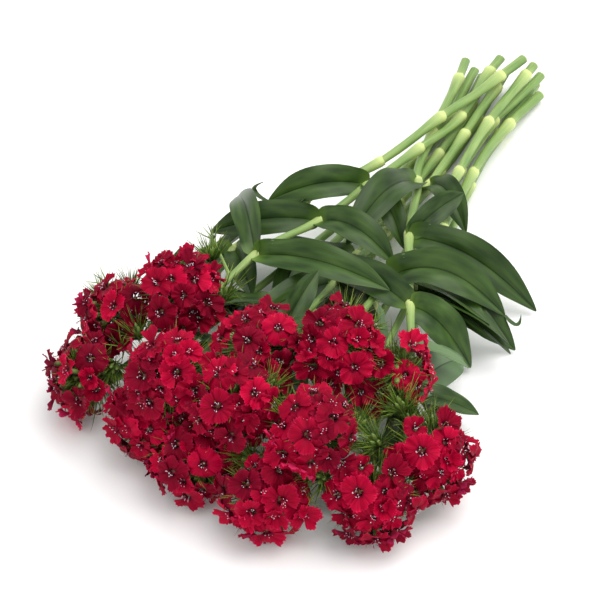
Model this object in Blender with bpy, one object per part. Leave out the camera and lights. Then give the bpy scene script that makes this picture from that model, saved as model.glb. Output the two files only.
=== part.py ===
"""A bunch of cut sweet william, a dianthus, lying on a surface.

Fourteen leafy stems lie in loose layers. Each is one green solid: the stem with its swollen nodes, the leaves
that are left on it, the green cup under its flower head and the bristly bracts round that cup. The crimson
flowers of each head are a second solid, fused on a small core that sits on the cup.

Lengths are millimetres and angles degrees up to the mesh, which is made in metres. The bunch lies along Y
with its heads at -Y, X is to the right of the heads as they are looked at from the front, and Z is up from
the surface. The origin is on the surface, under the middle of the bunch.
"""
import math
from collections import namedtuple

import bpy
import numpy as np
from mathutils.bvhtree import BVHTree

MM = 0.001
UP = np.array((0.0, 0.0, 1.0))

# Stems
STEM_RADIUS_HEAD = 2.3
STEM_RADIUS_CUT = 3.9
NODE_SWELL = 1.4
NODE_SHOULDER = 18
NODE_STEP = 2.2
STEM_SIDES = 5
STEP_ALONG = 4.0
STEM_GAP = 0.7
SETTLE_ROUNDS = 90
NECK_LENGTH = 45
SHIFT = (3.8, 0.6, 0.0)

# Flower heads
HEAD_DEPTH = 24
CUP_RADIUS = 13.0
CORE_RADIUS = 15.0
FOCUS_HEIGHT = 3.0
DOME_RADIUS = 26.0
DOME_DEPTH = 22.5
DOME_EDGE = 86
FLOWER_RADIUS = 12.0
GOLDEN_TURN = 137.508

# Bracts and leaves
BRACTS_PER_HEAD = 8
BRACT_LENGTH = 29
BRACT_RADIUS = 1.0
LEAF_LENGTH = 84
LEAF_WIDTH = 23
TOP_LEAF = 0.7
LEAF_THICKNESS = 1.1
LEAF_FOLD = 0.14
LEAF_SPREAD = (-100.0, 122.0)
CLEARANCE = 0.35

Head = namedtuple("Head", "centre azimuth tilt size flowers")
Stem = namedtuple("Stem", "name head first_node internode leafy_nodes path")

# Each head's dome centre, the way it faces (azimuth from +X, tilt above level), and its stem's way to the cut end.
STEMS = (
    Stem("01", Head((-113, -187, 29), -138, 18, 1, 9), 36, 68, 3,
         ((-62, -60, 12), (-14, 165, 3.7), (-20, 238, 3.9))),
    Stem("02", Head((-60, -204, 28), -100, 14, 1, 9), 40, 70, 3,
         ((-40, -60, 10), (-3, 165, 3.7), (-8, 250, 3.9))),
    Stem("03", Head((-20, -222, 28), -84, 14, 1, 9), 38, 72, 3,
         ((-14, -80, 10), (8, 165, 3.7), (6, 243, 3.9))),
    Stem("04", Head((32, -233, 28), -68, 16, 1, 9), 42, 70, 3,
         ((18, -80, 10), (18, 165, 3.7), (21, 254, 3.9))),
    Stem("05", Head((92, -209, 28), -54, 12, 1, 9), 26, 71, 3,
         ((53, -28, 22), (28, 165, 4), (33, 257, 3.9))),
    Stem("06", Head((-46, -202, 69), -90, 32, 1, 9), 40, 66, 3,
         ((-34, -80, 34), (-9, 165, 14), (-14, 246, 12))),
    Stem("07", Head((-1, -206, 69), -66, 36, 1, 9), 44, 70, 3,
         ((-8, -80, 34), (2, 165, 14), (-2, 239, 13))),
    Stem("08", Head((51, -207, 66), -58, 40, 1, 9), 42, 68, 3,
         ((36, -80, 32), (23, 165, 14), (36, 258, 13))),
    Stem("09", Head((75, -129, 54), -10, 44, 0.8, 5), 34, 72, 2,
         ((48, -60, 30), (32, 165, 15), (41, 243, 6))),
    Stem("10", Head((-113, -144, 42), -124, 38, 1, 9), 20, 70, 3,
         ((-80, -50, 36), (-50, 40, 34), (-28, 85, 32), (-6, 154, 31), (11, 206, 29), (22, 255, 26))),
    Stem("11", Head((-72, -134, 70), -88, 56, 1, 9), 66, 60, 3,
         ((-53, -53, 52), (-33, -4, 46), (-21, 55, 38), (-8, 110, 32), (2, 165, 24), (5, 253, 23))),
    Stem("12", Head((-6, -158, 68), -66, 54, 1, 9), 34, 67, 2,
         ((-6, -90, 42), (6, 29, 29), (11, 80, 25), (13, 165, 22), (12, 240, 20))),
    Stem("13", Head((41, -144, 75), -49, 54, 1, 9), 38, 68, 2,
         ((28, -90, 46), (32, 20, 36), (24, 165, 23), (30, 257, 21))),
    Stem("14", Head((112, -170, 34), -36, 18, 1, 9), 38, 72, 3,
         ((81, -122, 36), (54, -56, 45), (25, 15, 42), (10, 68, 34), (-2, 100, 25), (-8, 135, 21), (-13, 195, 22), (-20, 247, 16))),
)

# Leaves that show: stem, node from the head, tip, lift of the middle, width and roll about the leaf's own line.
Leaf = namedtuple("Leaf", "stem node tip lift width roll")
SHOWN_LEAVES = (
    Leaf("05", 2, (120, -28, 4), 24, 27, 25),
    Leaf("14", 2, (120, 14, 4), 26, 27, 30),
    Leaf("13", 1, (108, -18, 14), 30, 29, 25),
    Leaf("14", 1, (100, -57, 5), 24, 27, 25),
    Leaf("14", 1, (-17, -36, 38), 16, 26, -20),
    Leaf("11", 0, (38, -41, 52), 22, 25, 25),
    Leaf("14", 3, (-9, -14, 40), 40, 26, -20),
    Leaf("11", 2, (52, 44, 26), 22, 24, 10),
    Leaf("11", 1, (26, -14, 36), 24, 24, 20),
    Leaf("12", 3, (48, 44, 22), 34, 20, 20),
    Leaf("14", 2, (50, 52, 56), 10, 18, 35),
    Leaf("11", 2, (-79, 11, 28), 20, 25, -35),
    Leaf("11", 1, (-105, -37, 30), 14, 25, -35),
    Leaf("11", 0, (-100, 6, 38), 34, 21, -30),
    Leaf("14", 0, (97, -64, 20), 16, 27, 35),
    Leaf("14", 0, (122, -104, 14), 10, 17, 15),
    Leaf("12", 1, (52, -57, 26), 22, 24, 20),
    Leaf("13", 1, (0, -62, 32), 10, 22, -20),
    Leaf("12", 1, (-58, -86, 34), 10, 24, -25),
    Leaf("12", 0, (-5, -70, 64), 4, 17, 40),
    Leaf("09", 0, (42, -80, 60), 4, 15, 60),
    Leaf("10", 0, (-98, -84, 62), 4, 18, 40),
    Leaf("10", 1, (-50, -78, 46), 16, 20, 20),
)

# Side shoots with unopened buds: stem, arc length from the head, tip of the shoot.
Shoot = namedtuple("Shoot", "stem along tip")
SHOOTS = (
    Shoot("11", 40, (-86, -60, 54)),
    Shoot("10", 16, (-131, -126, 52)),
    Shoot("11", 18, (-52, -108, 62)),
    Shoot("13", 22, (48, -108, 66)),
    Shoot("14", 16, (82, -146, 52)),
    Shoot("01", 16, (-99, -168, 44)),
)


def unit(vector):
    vector = np.asarray(vector, float)
    return vector / np.linalg.norm(vector)


def across(direction):
    """Two unit vectors square to a direction: a level one and the one above it."""
    side = np.cross(direction, UP)
    if np.linalg.norm(side) < 0.05:
        side = np.cross(direction, (0.0, 1.0, 0.0))
    side = unit(side)
    return side, np.cross(side, direction)


def turned(vector, axis, degrees):
    """The vector turned about a unit axis."""
    angle = math.radians(degrees)
    return (
        vector * math.cos(angle)
        + np.cross(axis, vector) * math.sin(angle)
        + axis * (axis @ vector) * (1 - math.cos(angle))
    )


def random_for(*key):
    """Numbers that are the same on each run, with a draw of their own for each key."""
    return np.random.default_rng([sum(map(ord, str(word))) + 977 * place for place, word in enumerate(key)])


# Stem paths


def facing(head):
    azimuth, tilt = math.radians(head.azimuth), math.radians(head.tilt)
    return np.array((math.cos(azimuth) * math.cos(tilt), math.sin(azimuth) * math.cos(tilt), math.sin(tilt)))


def head_base(head):
    return np.array(head.centre, float) - HEAD_DEPTH * head.size * facing(head)


def smooth_path(points, step):
    """Points at even steps along a Catmull-Rom curve through the given ones."""
    points = np.asarray(points, float)
    ends = np.vstack((2 * points[0] - points[1], points, 2 * points[-1] - points[-2]))
    knots = np.concatenate(([0.0], np.cumsum(np.sqrt(np.linalg.norm(np.diff(ends, axis=0), axis=1)))))
    dense = []
    for i in range(1, len(ends) - 2):
        a, b, c, d = ends[i - 1:i + 3]
        ta, tb, tc, td = knots[i - 1:i + 3]
        t = np.linspace(tb, tc, 40, endpoint=False)[:, None]
        ab = (tb - t) / (tb - ta) * a + (t - ta) / (tb - ta) * b
        bc = (tc - t) / (tc - tb) * b + (t - tb) / (tc - tb) * c
        cd = (td - t) / (td - tc) * c + (t - tc) / (td - tc) * d
        abc = (tc - t) / (tc - ta) * ab + (t - ta) / (tc - ta) * bc
        bcd = (td - t) / (td - tb) * bc + (t - tb) / (td - tb) * cd
        dense.append((tc - t) / (tc - tb) * abc + (t - tb) / (tc - tb) * bcd)
    return even_steps(np.vstack(dense + [points[-1:]]), step)


def even_steps(points, step):
    lengths = np.concatenate(([0.0], np.cumsum(np.linalg.norm(np.diff(points, axis=0), axis=1))))
    count = max(2, round(lengths[-1] / step) + 1)
    at = np.linspace(0, lengths[-1], count)
    return np.column_stack([np.interp(at, lengths, points[:, k]) for k in range(3)])


def stem_path(stem):
    """The stem's line from its head's base to its cut end, as laid out."""
    base = head_base(stem.head)
    arrival = unit(0.6 * facing(stem.head) + unit(base - np.array(stem.path[0], float)))
    return smooth_path([base, base - 16 * arrival, *stem.path], STEP_ALONG)


def arc_lengths(path):
    return np.concatenate(([0.0], np.cumsum(np.linalg.norm(np.diff(path, axis=0), axis=1))))


def stem_radii(path):
    share = arc_lengths(path) / arc_lengths(path)[-1]
    return STEM_RADIUS_HEAD + (STEM_RADIUS_CUT - STEM_RADIUS_HEAD) * share


def smoothed(shift, reach=9):
    """A push spread along its stem, so that the stem bends instead of kinking."""
    spread = np.hanning(2 * reach + 1)
    padded = np.pad(shift, ((reach, reach), (0, 0)), mode="edge")
    return np.column_stack([np.convolve(padded[:, k], spread / spread.max(), "valid") for k in range(3)])


def rings(stem, path):
    """Arc lengths along the stem, and how much thicker or thinner it is there than its plain taper."""
    table = [(0.0, 1.0)]
    for node in node_lengths(stem, path):
        if node - NODE_SHOULDER > table[-1][0] + 6:
            table.append((node - NODE_SHOULDER, 1.06))
        table += [(node, NODE_SWELL), (node + NODE_STEP, 0.96)]
    return table + [(arc_lengths(path)[-1], 1.0)]


def reach_of(stem, path):
    """The stem's radius at each point of its path, with each node's bulge spread to the points beside it."""
    along, swell = zip(*rings(stem, path))
    local = np.interp(arc_lengths(path), along, swell)
    wide = np.maximum(local, np.maximum(np.append(local[1:], 1), np.append(1, local[:-1])))
    return wide * stem_radii(path)


def close_pairs(points, owner, limit):
    """Pairs of points of different stems that are nearer than the limit."""
    squared = (points ** 2).sum(1)
    gaps = squared[:, None] + squared[None] - 2 * points @ points.T
    return np.nonzero((gaps < limit ** 2) & (owner[:, None] < owner[None]))


def gathered(index, values, count):
    """The values summed at each point they act on."""
    return np.column_stack([np.bincount(index, values[:, k], count) for k in range(values.shape[1])])


def settle(stems, paths):
    """Moves the stems apart until none runs through another, a head's core or the surface."""
    owner = np.concatenate([np.full(len(path), i) for i, path in enumerate(paths)])
    radius = np.concatenate([stem_radii(path) for path in paths])
    bulge = np.concatenate([reach_of(stem, path) for stem, path in zip(stems, paths)])
    free = np.concatenate([np.clip(arc_lengths(path) / NECK_LENGTH, 0, 1) for path in paths])
    starts = np.cumsum([0] + [len(path) for path in paths])
    cores = np.array([stem.head.centre for stem in stems], float)
    core_reach = np.array([(CORE_RADIUS + 5) * stem.head.size for stem in stems])
    points = np.concatenate(paths)
    for turn in range(SETTLE_ROUNDS):
        if turn % 10 == 0:
            one, other = close_pairs(points, owner, 22)
            reach = bulge[one] + bulge[other] + STEM_GAP
        apart = points[one] - points[other]
        distance = np.linalg.norm(apart, axis=1) + 1e-6
        push = np.clip(reach - distance, 0, None) / distance
        moves = 0.5 * np.column_stack((apart * push[:, None], push > 0))
        moves[:, 3] *= 2
        both = gathered(one, moves, len(points)) + gathered(other, moves * (-1, -1, -1, 1), len(points))
        shift = both[:, :3] / np.maximum(both[:, 3:], 1)
        from_core = points[:, None] - cores[None]
        core_distance = np.linalg.norm(from_core, axis=2) + 1e-6
        core_push = np.clip(core_reach[None] + radius[:, None] - core_distance, 0, None) / core_distance
        core_push[np.arange(len(points)), owner] = 0
        shift += 0.3 * (from_core * core_push[:, :, None]).sum(1)
        for a, b in zip(starts[:-1], starts[1:]):
            points[a:b] += smoothed(shift[a:b]) * 0.35 * free[a:b, None]
        lowest = NODE_SWELL * radius * math.cos(math.pi / STEM_SIDES) + 0.05
        points[:, 2] = np.maximum(points[:, 2], lowest)
    return [points[a:b] for a, b in zip(starts[:-1], starts[1:])]


def at_length(path, along):
    """The point at an arc length from the head's base, and the way to the head there."""
    lengths = arc_lengths(path)
    along = min(max(along, 0.0), lengths[-1])
    point = np.array([np.interp(along, lengths, path[:, k]) for k in range(3)])
    i = min(max(int(np.searchsorted(lengths, along)), 1), len(path) - 1)
    return point, unit(path[i - 1] - path[i])


def node_lengths(stem, path):
    """Arc lengths of the stem's nodes, counted from the head."""
    total = arc_lengths(path)[-1]
    return np.arange(stem.first_node, total - 8, stem.internode)


# Closed forms, each as (corners, triangles)


def outward(corners, faces):
    """Corners and triangles, with the triangles wound so that they face out."""
    corners = np.array(corners, float)
    a, b, c = (corners[[face[k] for face in faces]] for k in range(3))
    if np.einsum("ij,ij->", a, np.cross(b, c)) < 0:
        faces = [face[::-1] for face in faces]
    return corners, faces


def tube(points, radii, sides):
    """A bar along the points, closed with a flat cap at each end."""
    points = np.asarray(points, float)
    tangents = np.gradient(points, axis=0)
    corners = []
    for point, tangent, radius in zip(points, tangents, radii):
        side, up = across(unit(tangent))
        for k in range(sides):
            turn = 2 * math.pi * k / sides
            corners.append(point + radius * (up * math.cos(turn) + side * math.sin(turn)))
    faces = []
    for ring in range(len(points) - 1):
        for k in range(sides):
            a, b = ring * sides + k, ring * sides + (k + 1) % sides
            faces += [(a, b, b + sides), (a, b + sides, a + sides)]
    last = (len(points) - 1) * sides
    for k in range(1, sides - 1):
        faces += [(0, k + 1, k), (last, last + k, last + k + 1)]
    return outward(corners, faces)


def needle(base, tip, radius):
    """A three-sided spike."""
    side, up = across(unit(tip - base))
    ring = [base + radius * (up * math.cos(t) + side * math.sin(t)) for t in np.radians((0, 120, 240))]
    return outward(ring + [tip], [(0, 1, 2), (0, 3, 1), (1, 3, 2), (2, 3, 0)])


def flower(centre, normal, spin, radius, root):
    """Five petals spread at the end of a slim tube that runs down to its root."""
    side, up = across(normal)
    throat_depth, throat_radius, reflex = 2.4, 2.1, 0.9
    rim, throat = [], []
    for petal in range(5):
        for offset, reach in ((-36, 0.68), (0, 1.0)):
            turn = math.radians(spin + 72 * petal + offset)
            out = side * math.cos(turn) + up * math.sin(turn)
            rim.append(centre + radius * reach * out - reflex * reach * normal)
            if offset == -36:
                throat.append(centre + throat_radius * out - throat_depth * normal)
    corners = [centre - 0.5 * normal] + rim + throat + [root]
    faces = [(0, 1 + k, 1 + (k + 1) % 10) for k in range(10)]
    for petal in range(5):
        notch, tip, next_notch = 1 + 2 * petal, 2 + 2 * petal, 1 + (2 * petal + 2) % 10
        near, far = 11 + petal, 11 + (petal + 1) % 5
        faces += [(near, tip, notch), (near, far, tip), (far, next_notch, tip), (near, 16, far)]
    return outward(corners, faces)


def leaf_line(base, tip, lift):
    """The leaf's midrib: an arch from base to tip, as a function from 0 to 1."""
    middle = 0.55 * base + 0.45 * tip + lift * UP

    def point(t):
        return (1 - t) ** 2 * base + 2 * t * (1 - t) * middle + t * t * tip

    return point


def leaf_width(t):
    """Share of the leaf's full width at t: a clasping foot, broadest near the middle, and a short tip."""
    return max(0.25 * (1 - t / 0.25), 0) + 2.2 * t ** 0.55 * (1 - t) ** 0.62


def blade(base, tip, lift, width, roll, grow=0.0):
    """A folded leaf blade that is thickest along its midrib, closed at foot and tip."""
    line = leaf_line(base, tip, lift)
    stations = (0.0, 0.1, 0.25, 0.45, 0.68, 0.88, 1.0)
    corners, faces = [line(0.0)], []
    for t in stations[1:-1]:
        ahead = unit(line(t + 0.02) - line(t - 0.02))
        side, up = across(ahead)
        side, up = turned(side, ahead, roll), turned(up, ahead, roll)
        half = 0.5 * width * leaf_width(t) + grow
        fold = LEAF_FOLD * width * leaf_width(t)
        middle = line(t)
        row = [
            middle - half * side + fold * up,
            middle + grow * up,
            middle + half * side + fold * up,
            middle - (LEAF_THICKNESS + grow) * up,
        ]
        lowest = min(corner[2] for corner in row)
        raise_by = max(0.0, grow + 0.2 - lowest) * UP
        corners += [corner + raise_by for corner in row]
    corners.append(line(1.0))
    for k in range(4):
        faces.append((0, 1 + k, 1 + (k + 1) % 4))
        last = len(corners) - 5
        faces.append((last + k, len(corners) - 1, last + (k + 1) % 4))
    for row in range(len(stations) - 3):
        for left, right in ((0, 1), (0, 3), (2, 1), (2, 3)):
            a, b = 1 + 4 * row + left, 1 + 4 * row + right
            pair = [(a, b, b + 4), (a, b + 4, a + 4)]
            faces += pair if (left, right) in ((0, 3), (2, 1)) else [face[::-1] for face in pair]
    return outward(corners, faces)


def cup(head):
    """The bundle of green calyces under the flowers, as one cone with a flat top."""
    normal = facing(head)
    heights = np.array((-HEAD_DEPTH - 1.5, -0.5 * HEAD_DEPTH, 0.0)) * head.size
    radii = np.array((STEM_RADIUS_HEAD, 0.6 * CUP_RADIUS, CUP_RADIUS)) * head.size
    return tube([np.array(head.centre) + height * normal for height in heights], radii, 7)


def core(head):
    """The small dome that carries the flowers' tubes, 0.4 mm above the cup."""
    normal = facing(head)
    heights = np.array((0.0, 8.0, 15.0)) * head.size + 0.4
    radii = np.array((0.9, 1.0, 0.5)) * CORE_RADIUS * head.size
    return tube([np.array(head.centre) + height * normal for height in heights], radii, 7)


# Placing pieces clear of each other


class Bunch:
    """What has been placed so far, by the solid that each piece belongs to."""

    def __init__(self):
        self.pieces = {}
        self.lows, self.highs, self.owners, self.trees = [], [], [], []

    def add(self, owner, shape):
        corners, faces = shape
        self.pieces.setdefault(owner, []).append(shape)
        self.lows.append(corners.min(0))
        self.highs.append(corners.max(0))
        self.owners.append(owner)
        self.trees.append(BVHTree.FromPolygons(corners.tolist(), faces))

    def clear(self, owner, shape):
        """True if the shape crosses nothing that belongs to another solid."""
        corners, faces = shape
        low, high = corners.min(0), corners.max(0)
        near = np.flatnonzero(
            (np.array(self.lows) < high).all(1) & (np.array(self.highs) > low).all(1)
        )
        near = [i for i in near if self.owners[i] != owner]
        if not near:
            return True
        tree = BVHTree.FromPolygons(corners.tolist(), faces)
        return not any(tree.overlap(self.trees[i]) for i in near)


def place_stem(bunch, stem, path):
    """The stem's bar: thick at each node, narrow just past it, and tapering towards the head."""
    radii = stem_radii(path)
    table = rings(stem, path)
    points = [at_length(path, along)[0] for along, _ in table]
    sizes = [np.interp(along, arc_lengths(path), radii) * swell for along, swell in table]
    bunch.add("stem_" + stem.name, tube(points, sizes, STEM_SIDES))


def flower_spots(head, name):
    """Where a head's flowers would stand if nothing pressed on it: directions from the focus, and spins."""
    normal = facing(head)
    side, up = across(normal)
    draw = random_for("flowers", name)
    for k in range(head.flowers):
        share = (k + 0.5) / head.flowers
        polar = math.acos(1 - share * (1 - math.cos(math.radians(DOME_EDGE))))
        turn = math.radians(k * GOLDEN_TURN + draw.uniform(-12, 12))
        polar += math.radians(draw.uniform(-5, 5))
        out = math.cos(turn) * side + math.sin(turn) * up
        yield unit(math.cos(polar) * normal + math.sin(polar) * out), draw.uniform(0, 72), draw.uniform(-1.6, 1.6)


FLOWER_TRIES = [
    (pull, lean, shrink) for shrink in (1.0, 0.86, 0.72) for lean in (0, 16, -14, 32) for pull in (0, 2.5, 5.0, 8.0)
]


def place_flowers(bunch, stem):
    head, normal = stem.head, facing(stem.head)
    focus = np.array(head.centre, float) + FOCUS_HEIGHT * head.size * normal
    owner = "flowers_" + stem.name
    for direction, spin, rise in flower_spots(head, stem.name):
        axis = np.cross(direction, normal)
        axis = unit(axis) if np.linalg.norm(axis) > 0.05 else across(normal)[0]
        for pull, lean, shrink in FLOWER_TRIES:
            reach = (DOME_RADIUS + rise - pull) * head.size * direction
            centre = focus + reach - (1 - DOME_DEPTH / DOME_RADIUS) * (reach @ normal) * normal
            face = turned(direction, axis, 10 + lean)
            root = focus + 5 * direction
            radius = FLOWER_RADIUS * shrink
            if bunch.clear(owner, on_surface(flower(centre + CLEARANCE * face, face, spin, radius + CLEARANCE, root))):
                shape = on_surface(flower(centre, face, spin, radius, root))
                if shape[0][:, 2].min() >= 0 and flat_enough(centre, face, radius):
                    bunch.add(owner, shape)
                    break


def on_surface(shape):
    """Petals that would reach below the surface are pressed flat on it."""
    corners, faces = shape
    corners = corners.copy()
    corners[:, 2] = np.maximum(corners[:, 2], 0.0)
    return corners, faces


def flat_enough(centre, face, radius):
    """False where so much of a flower would be below the surface that it couldn't be pressed flat."""
    return centre[2] - 0.55 * radius * math.sqrt(max(0.0, 1 - face[2] ** 2)) > 0.8


def place_bracts(bunch, stem):
    """Bristly bracts from the side of the cup, out past the lowest flowers."""
    head, normal = stem.head, facing(stem.head)
    side, up = across(normal)
    draw = random_for("bracts", stem.name)
    owner = "stem_" + stem.name
    for k in range(round(BRACTS_PER_HEAD * head.size)):
        turn = 2 * math.pi * (k + draw.uniform(-0.3, 0.3)) / BRACTS_PER_HEAD
        out = math.cos(turn) * side + math.sin(turn) * up
        root = np.array(head.centre) + (-5 * normal + 0.55 * CUP_RADIUS * out) * head.size
        length = BRACT_LENGTH * draw.uniform(0.85, 1.15)
        for lean in (78, 90, 66, 104, 118, 54):
            leant = math.radians(lean + draw.uniform(-4, 4))
            tip = root + length * unit(math.cos(leant) * normal + math.sin(leant) * out)
            if tip[2] > 0.5 and root[2] > 2 and bunch.clear(owner, needle(root, tip, BRACT_RADIUS + CLEARANCE)):
                bunch.add(owner, needle(root, tip, BRACT_RADIUS))
                break


def place_shoot(bunch, shoot, path):
    """A side shoot: a thin twig, a small cup of buds and a tuft of bracts."""
    owner = "stem_" + shoot.stem
    start, _ = at_length(path, shoot.along)
    tip = np.array(shoot.tip, float)
    ahead = unit(tip - start)
    twig = tube([start, tip], (1.4, 1.2), 3)
    bud = tube([tip - 4 * ahead, tip + ahead, tip + 6 * ahead], (1.4, 3.6, 1.8), 5)
    if not (bunch.clear(owner, twig) and bunch.clear(owner, bud)):
        return
    bunch.add(owner, twig)
    bunch.add(owner, bud)
    side, up = across(ahead)
    draw = random_for("shoot", shoot.stem, shoot.along)
    for k in range(7):
        turn = math.radians(k * GOLDEN_TURN)
        lean = math.radians(draw.uniform(8, 62))
        out = math.cos(turn) * side + math.sin(turn) * up
        end = tip + draw.uniform(13, 18) * (math.cos(lean) * ahead + math.sin(lean) * out)
        if end[2] > 0.5 and bunch.clear(owner, needle(tip, end, 0.9 + CLEARANCE)):
            bunch.add(owner, needle(tip, end, 0.9))


LEAF_TRIES = sorted(
    ((swing, rise, arch) for swing in range(-36, 37, 9) for rise in range(-16, 33, 8) for arch in (0, 6, 14)),
    key=lambda t: abs(t[0]) / 9 + abs(t[1]) / 8 + t[2] / 7,
)


def place_leaf(bunch, stem_name, node, tip, lift, width, roll):
    """Lays one leaf, swinging or raising its tip until it is clear of everything else."""
    owner = "stem_" + stem_name
    for shrink in (1.0, 0.82):
        for swing, rise, arch in LEAF_TRIES:
            reach = turned(tip - node, UP, swing) * shrink
            end = node + reach + rise * UP
            end[2] = max(end[2], 1.0)
            end[0] = min(max(end[0], LEAF_SPREAD[0]), LEAF_SPREAD[1])
            if bunch.clear(owner, blade(node, end, lift + arch, width * shrink, roll, CLEARANCE)):
                bunch.add(owner, blade(node, end, lift + arch, width * shrink, roll))
                return True
    return False


def leaf_pairs(bunch, stem, path):
    """The leaves that no shown leaf stands for, two at each leafy node, opposite each other."""
    draw = random_for("leaves", stem.name)
    shown = [leaf.node for leaf in SHOWN_LEAVES if leaf.stem == stem.name]
    for index, along in enumerate(node_lengths(stem, path)[:stem.leafy_nodes]):
        node, ahead = at_length(path, along - 2)
        side, _ = across(ahead)
        for hand in (1, -1)[shown.count(index):]:
            opening = math.radians(draw.uniform(38, 62))
            growth = TOP_LEAF if index == 0 else draw.uniform(0.85, 1.05)
            length = LEAF_LENGTH * growth
            reach = length * unit(math.cos(opening) * ahead + math.sin(opening) * hand * side)
            tip = node + reach + (draw.uniform(-6, 6) - 0.12 * node[2]) * UP
            tip[2] = max(tip[2], 2.0)
            place_leaf(bunch, stem.name, node, tip, draw.uniform(12, 22), LEAF_WIDTH * growth, 20 * hand)


def lay_out():
    """Places every piece of the bunch and returns them by solid."""
    bunch = Bunch()
    paths = settle(STEMS, [stem_path(stem) for stem in STEMS])
    path_of = {stem.name: path for stem, path in zip(STEMS, paths)}
    for stem in STEMS:
        place_stem(bunch, stem, path_of[stem.name])
        bunch.add("stem_" + stem.name, cup(stem.head))
        bunch.add("flowers_" + stem.name, core(stem.head))
    for shoot in SHOOTS:
        place_shoot(bunch, shoot, path_of[shoot.stem])
    for stem in STEMS:
        place_flowers(bunch, stem)
    for leaf in SHOWN_LEAVES:
        stem = next(stem for stem in STEMS if stem.name == leaf.stem)
        along = node_lengths(stem, path_of[leaf.stem])[leaf.node]
        node, _ = at_length(path_of[leaf.stem], along - 2)
        place_leaf(bunch, leaf.stem, node, np.array(leaf.tip, float), leaf.lift, leaf.width, leaf.roll)
    for stem in STEMS:
        place_bracts(bunch, stem)
    for stem in STEMS:
        leaf_pairs(bunch, stem, path_of[stem.name])
    return bunch


# Blender objects


def principled(name, colour, roughness):
    material = bpy.data.materials.new(name)
    material.use_nodes = True
    shader = material.node_tree.nodes["Principled BSDF"]
    shader.inputs["Base Color"].default_value = (*colour, 1.0)
    shader.inputs["Roughness"].default_value = roughness
    shader.inputs["Metallic"].default_value = 0.0
    return material


def mesh_object(name, shape, collection):
    corners, faces = shape
    mesh = bpy.data.meshes.new(name)
    mesh.from_pydata(((corners + SHIFT) * MM).tolist(), [], faces)
    obj = bpy.data.objects.new(name, mesh)
    collection.objects.link(obj)
    return obj


def fused(name, shapes, material):
    """One object for the pieces of one solid, joined by a Boolean union."""
    pieces = bpy.data.collections.new(name + "_pieces")
    bpy.context.scene.collection.children.link(pieces)
    body = mesh_object(name, shapes[0], bpy.context.scene.collection)
    for index, shape in enumerate(shapes[1:]):
        mesh_object(f"{name}_piece_{index}", shape, pieces)
    union = body.modifiers.new("union", "BOOLEAN")
    union.operation = "UNION"
    union.solver = "MANIFOLD"
    union.operand_type = "COLLECTION"
    union.collection = pieces
    bpy.context.view_layer.update()
    graph = bpy.context.evaluated_depsgraph_get()
    mesh = bpy.data.meshes.new_from_object(body.evaluated_get(graph))
    body.modifiers.clear()
    body.data = mesh
    for piece in list(pieces.objects):
        bpy.data.objects.remove(piece)
    bpy.data.collections.remove(pieces)
    body.data.materials.clear()
    body.data.materials.append(material)
    body.data.shade_smooth()
    body.data.set_sharp_from_angle(angle=math.radians(40))
    return body


def clear_scene():
    for obj in list(bpy.data.objects):
        bpy.data.objects.remove(obj)


def main():
    clear_scene()
    green = principled("leaf_green", (0.07, 0.16, 0.04), 0.45)
    crimson = principled("petal_crimson", (0.55, 0.006, 0.03), 0.6)
    for name, shapes in lay_out().pieces.items():
        fused(name, shapes, green if name.startswith("stem") else crimson)


if __name__ == "__main__":
    main()
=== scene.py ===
"""The looks of a bunch of cut sweet william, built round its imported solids.

The bunch is laid out by the same rules as its solids. Each piece is then made fine: stems with socketed
nodes, leaves with a sunken midrib, five toothed petals to each flower, anthers, calyces and bristly bracts.
Lengths are millimetres and angles degrees up to the mesh, which is made in metres.
"""
import math
from collections import namedtuple

import bpy
import numpy as np
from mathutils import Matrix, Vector
from mathutils.bvhtree import BVHTree


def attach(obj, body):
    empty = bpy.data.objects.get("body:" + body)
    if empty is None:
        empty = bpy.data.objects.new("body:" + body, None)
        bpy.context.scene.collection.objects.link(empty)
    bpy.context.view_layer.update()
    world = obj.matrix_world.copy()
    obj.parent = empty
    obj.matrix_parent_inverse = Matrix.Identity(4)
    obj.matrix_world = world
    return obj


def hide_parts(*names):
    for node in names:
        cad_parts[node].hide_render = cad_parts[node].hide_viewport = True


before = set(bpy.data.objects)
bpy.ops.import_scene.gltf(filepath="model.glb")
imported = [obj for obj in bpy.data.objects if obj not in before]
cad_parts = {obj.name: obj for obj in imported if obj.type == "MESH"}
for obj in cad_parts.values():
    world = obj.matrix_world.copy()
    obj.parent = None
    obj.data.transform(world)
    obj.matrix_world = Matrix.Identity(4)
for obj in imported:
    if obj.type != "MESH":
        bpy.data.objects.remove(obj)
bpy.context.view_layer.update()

MM = 0.001
UP = np.array((0.0, 0.0, 1.0))

# View and light
VIEW_TARGET = (-22.0, -62.0, 25.0)
VIEW_AZIMUTH = 24
VIEW_ELEVATION = 42
VIEW_DISTANCE = 1500
LENS = 135
SENSOR = 36
WORLD_STRENGTH = 1.05
# The main light: place, what it faces, size, power and colour.
KEY = ((0.8, 0.45, 2.2), (0.0, -0.05, 0.0), 2.2, 42.0, (1.0, 0.99, 0.97))

# Fine stems
ROUND_STEM = 0.93
TWIG_RADII = (1.3, 1.1, 1.0, 1.1)
TWIG_PALE = 0.1
STALK_SIDES = 12
STALK_STEP = 5.0
CUT_LENGTH = 3
SURFACE_GAP = 0.05
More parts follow.
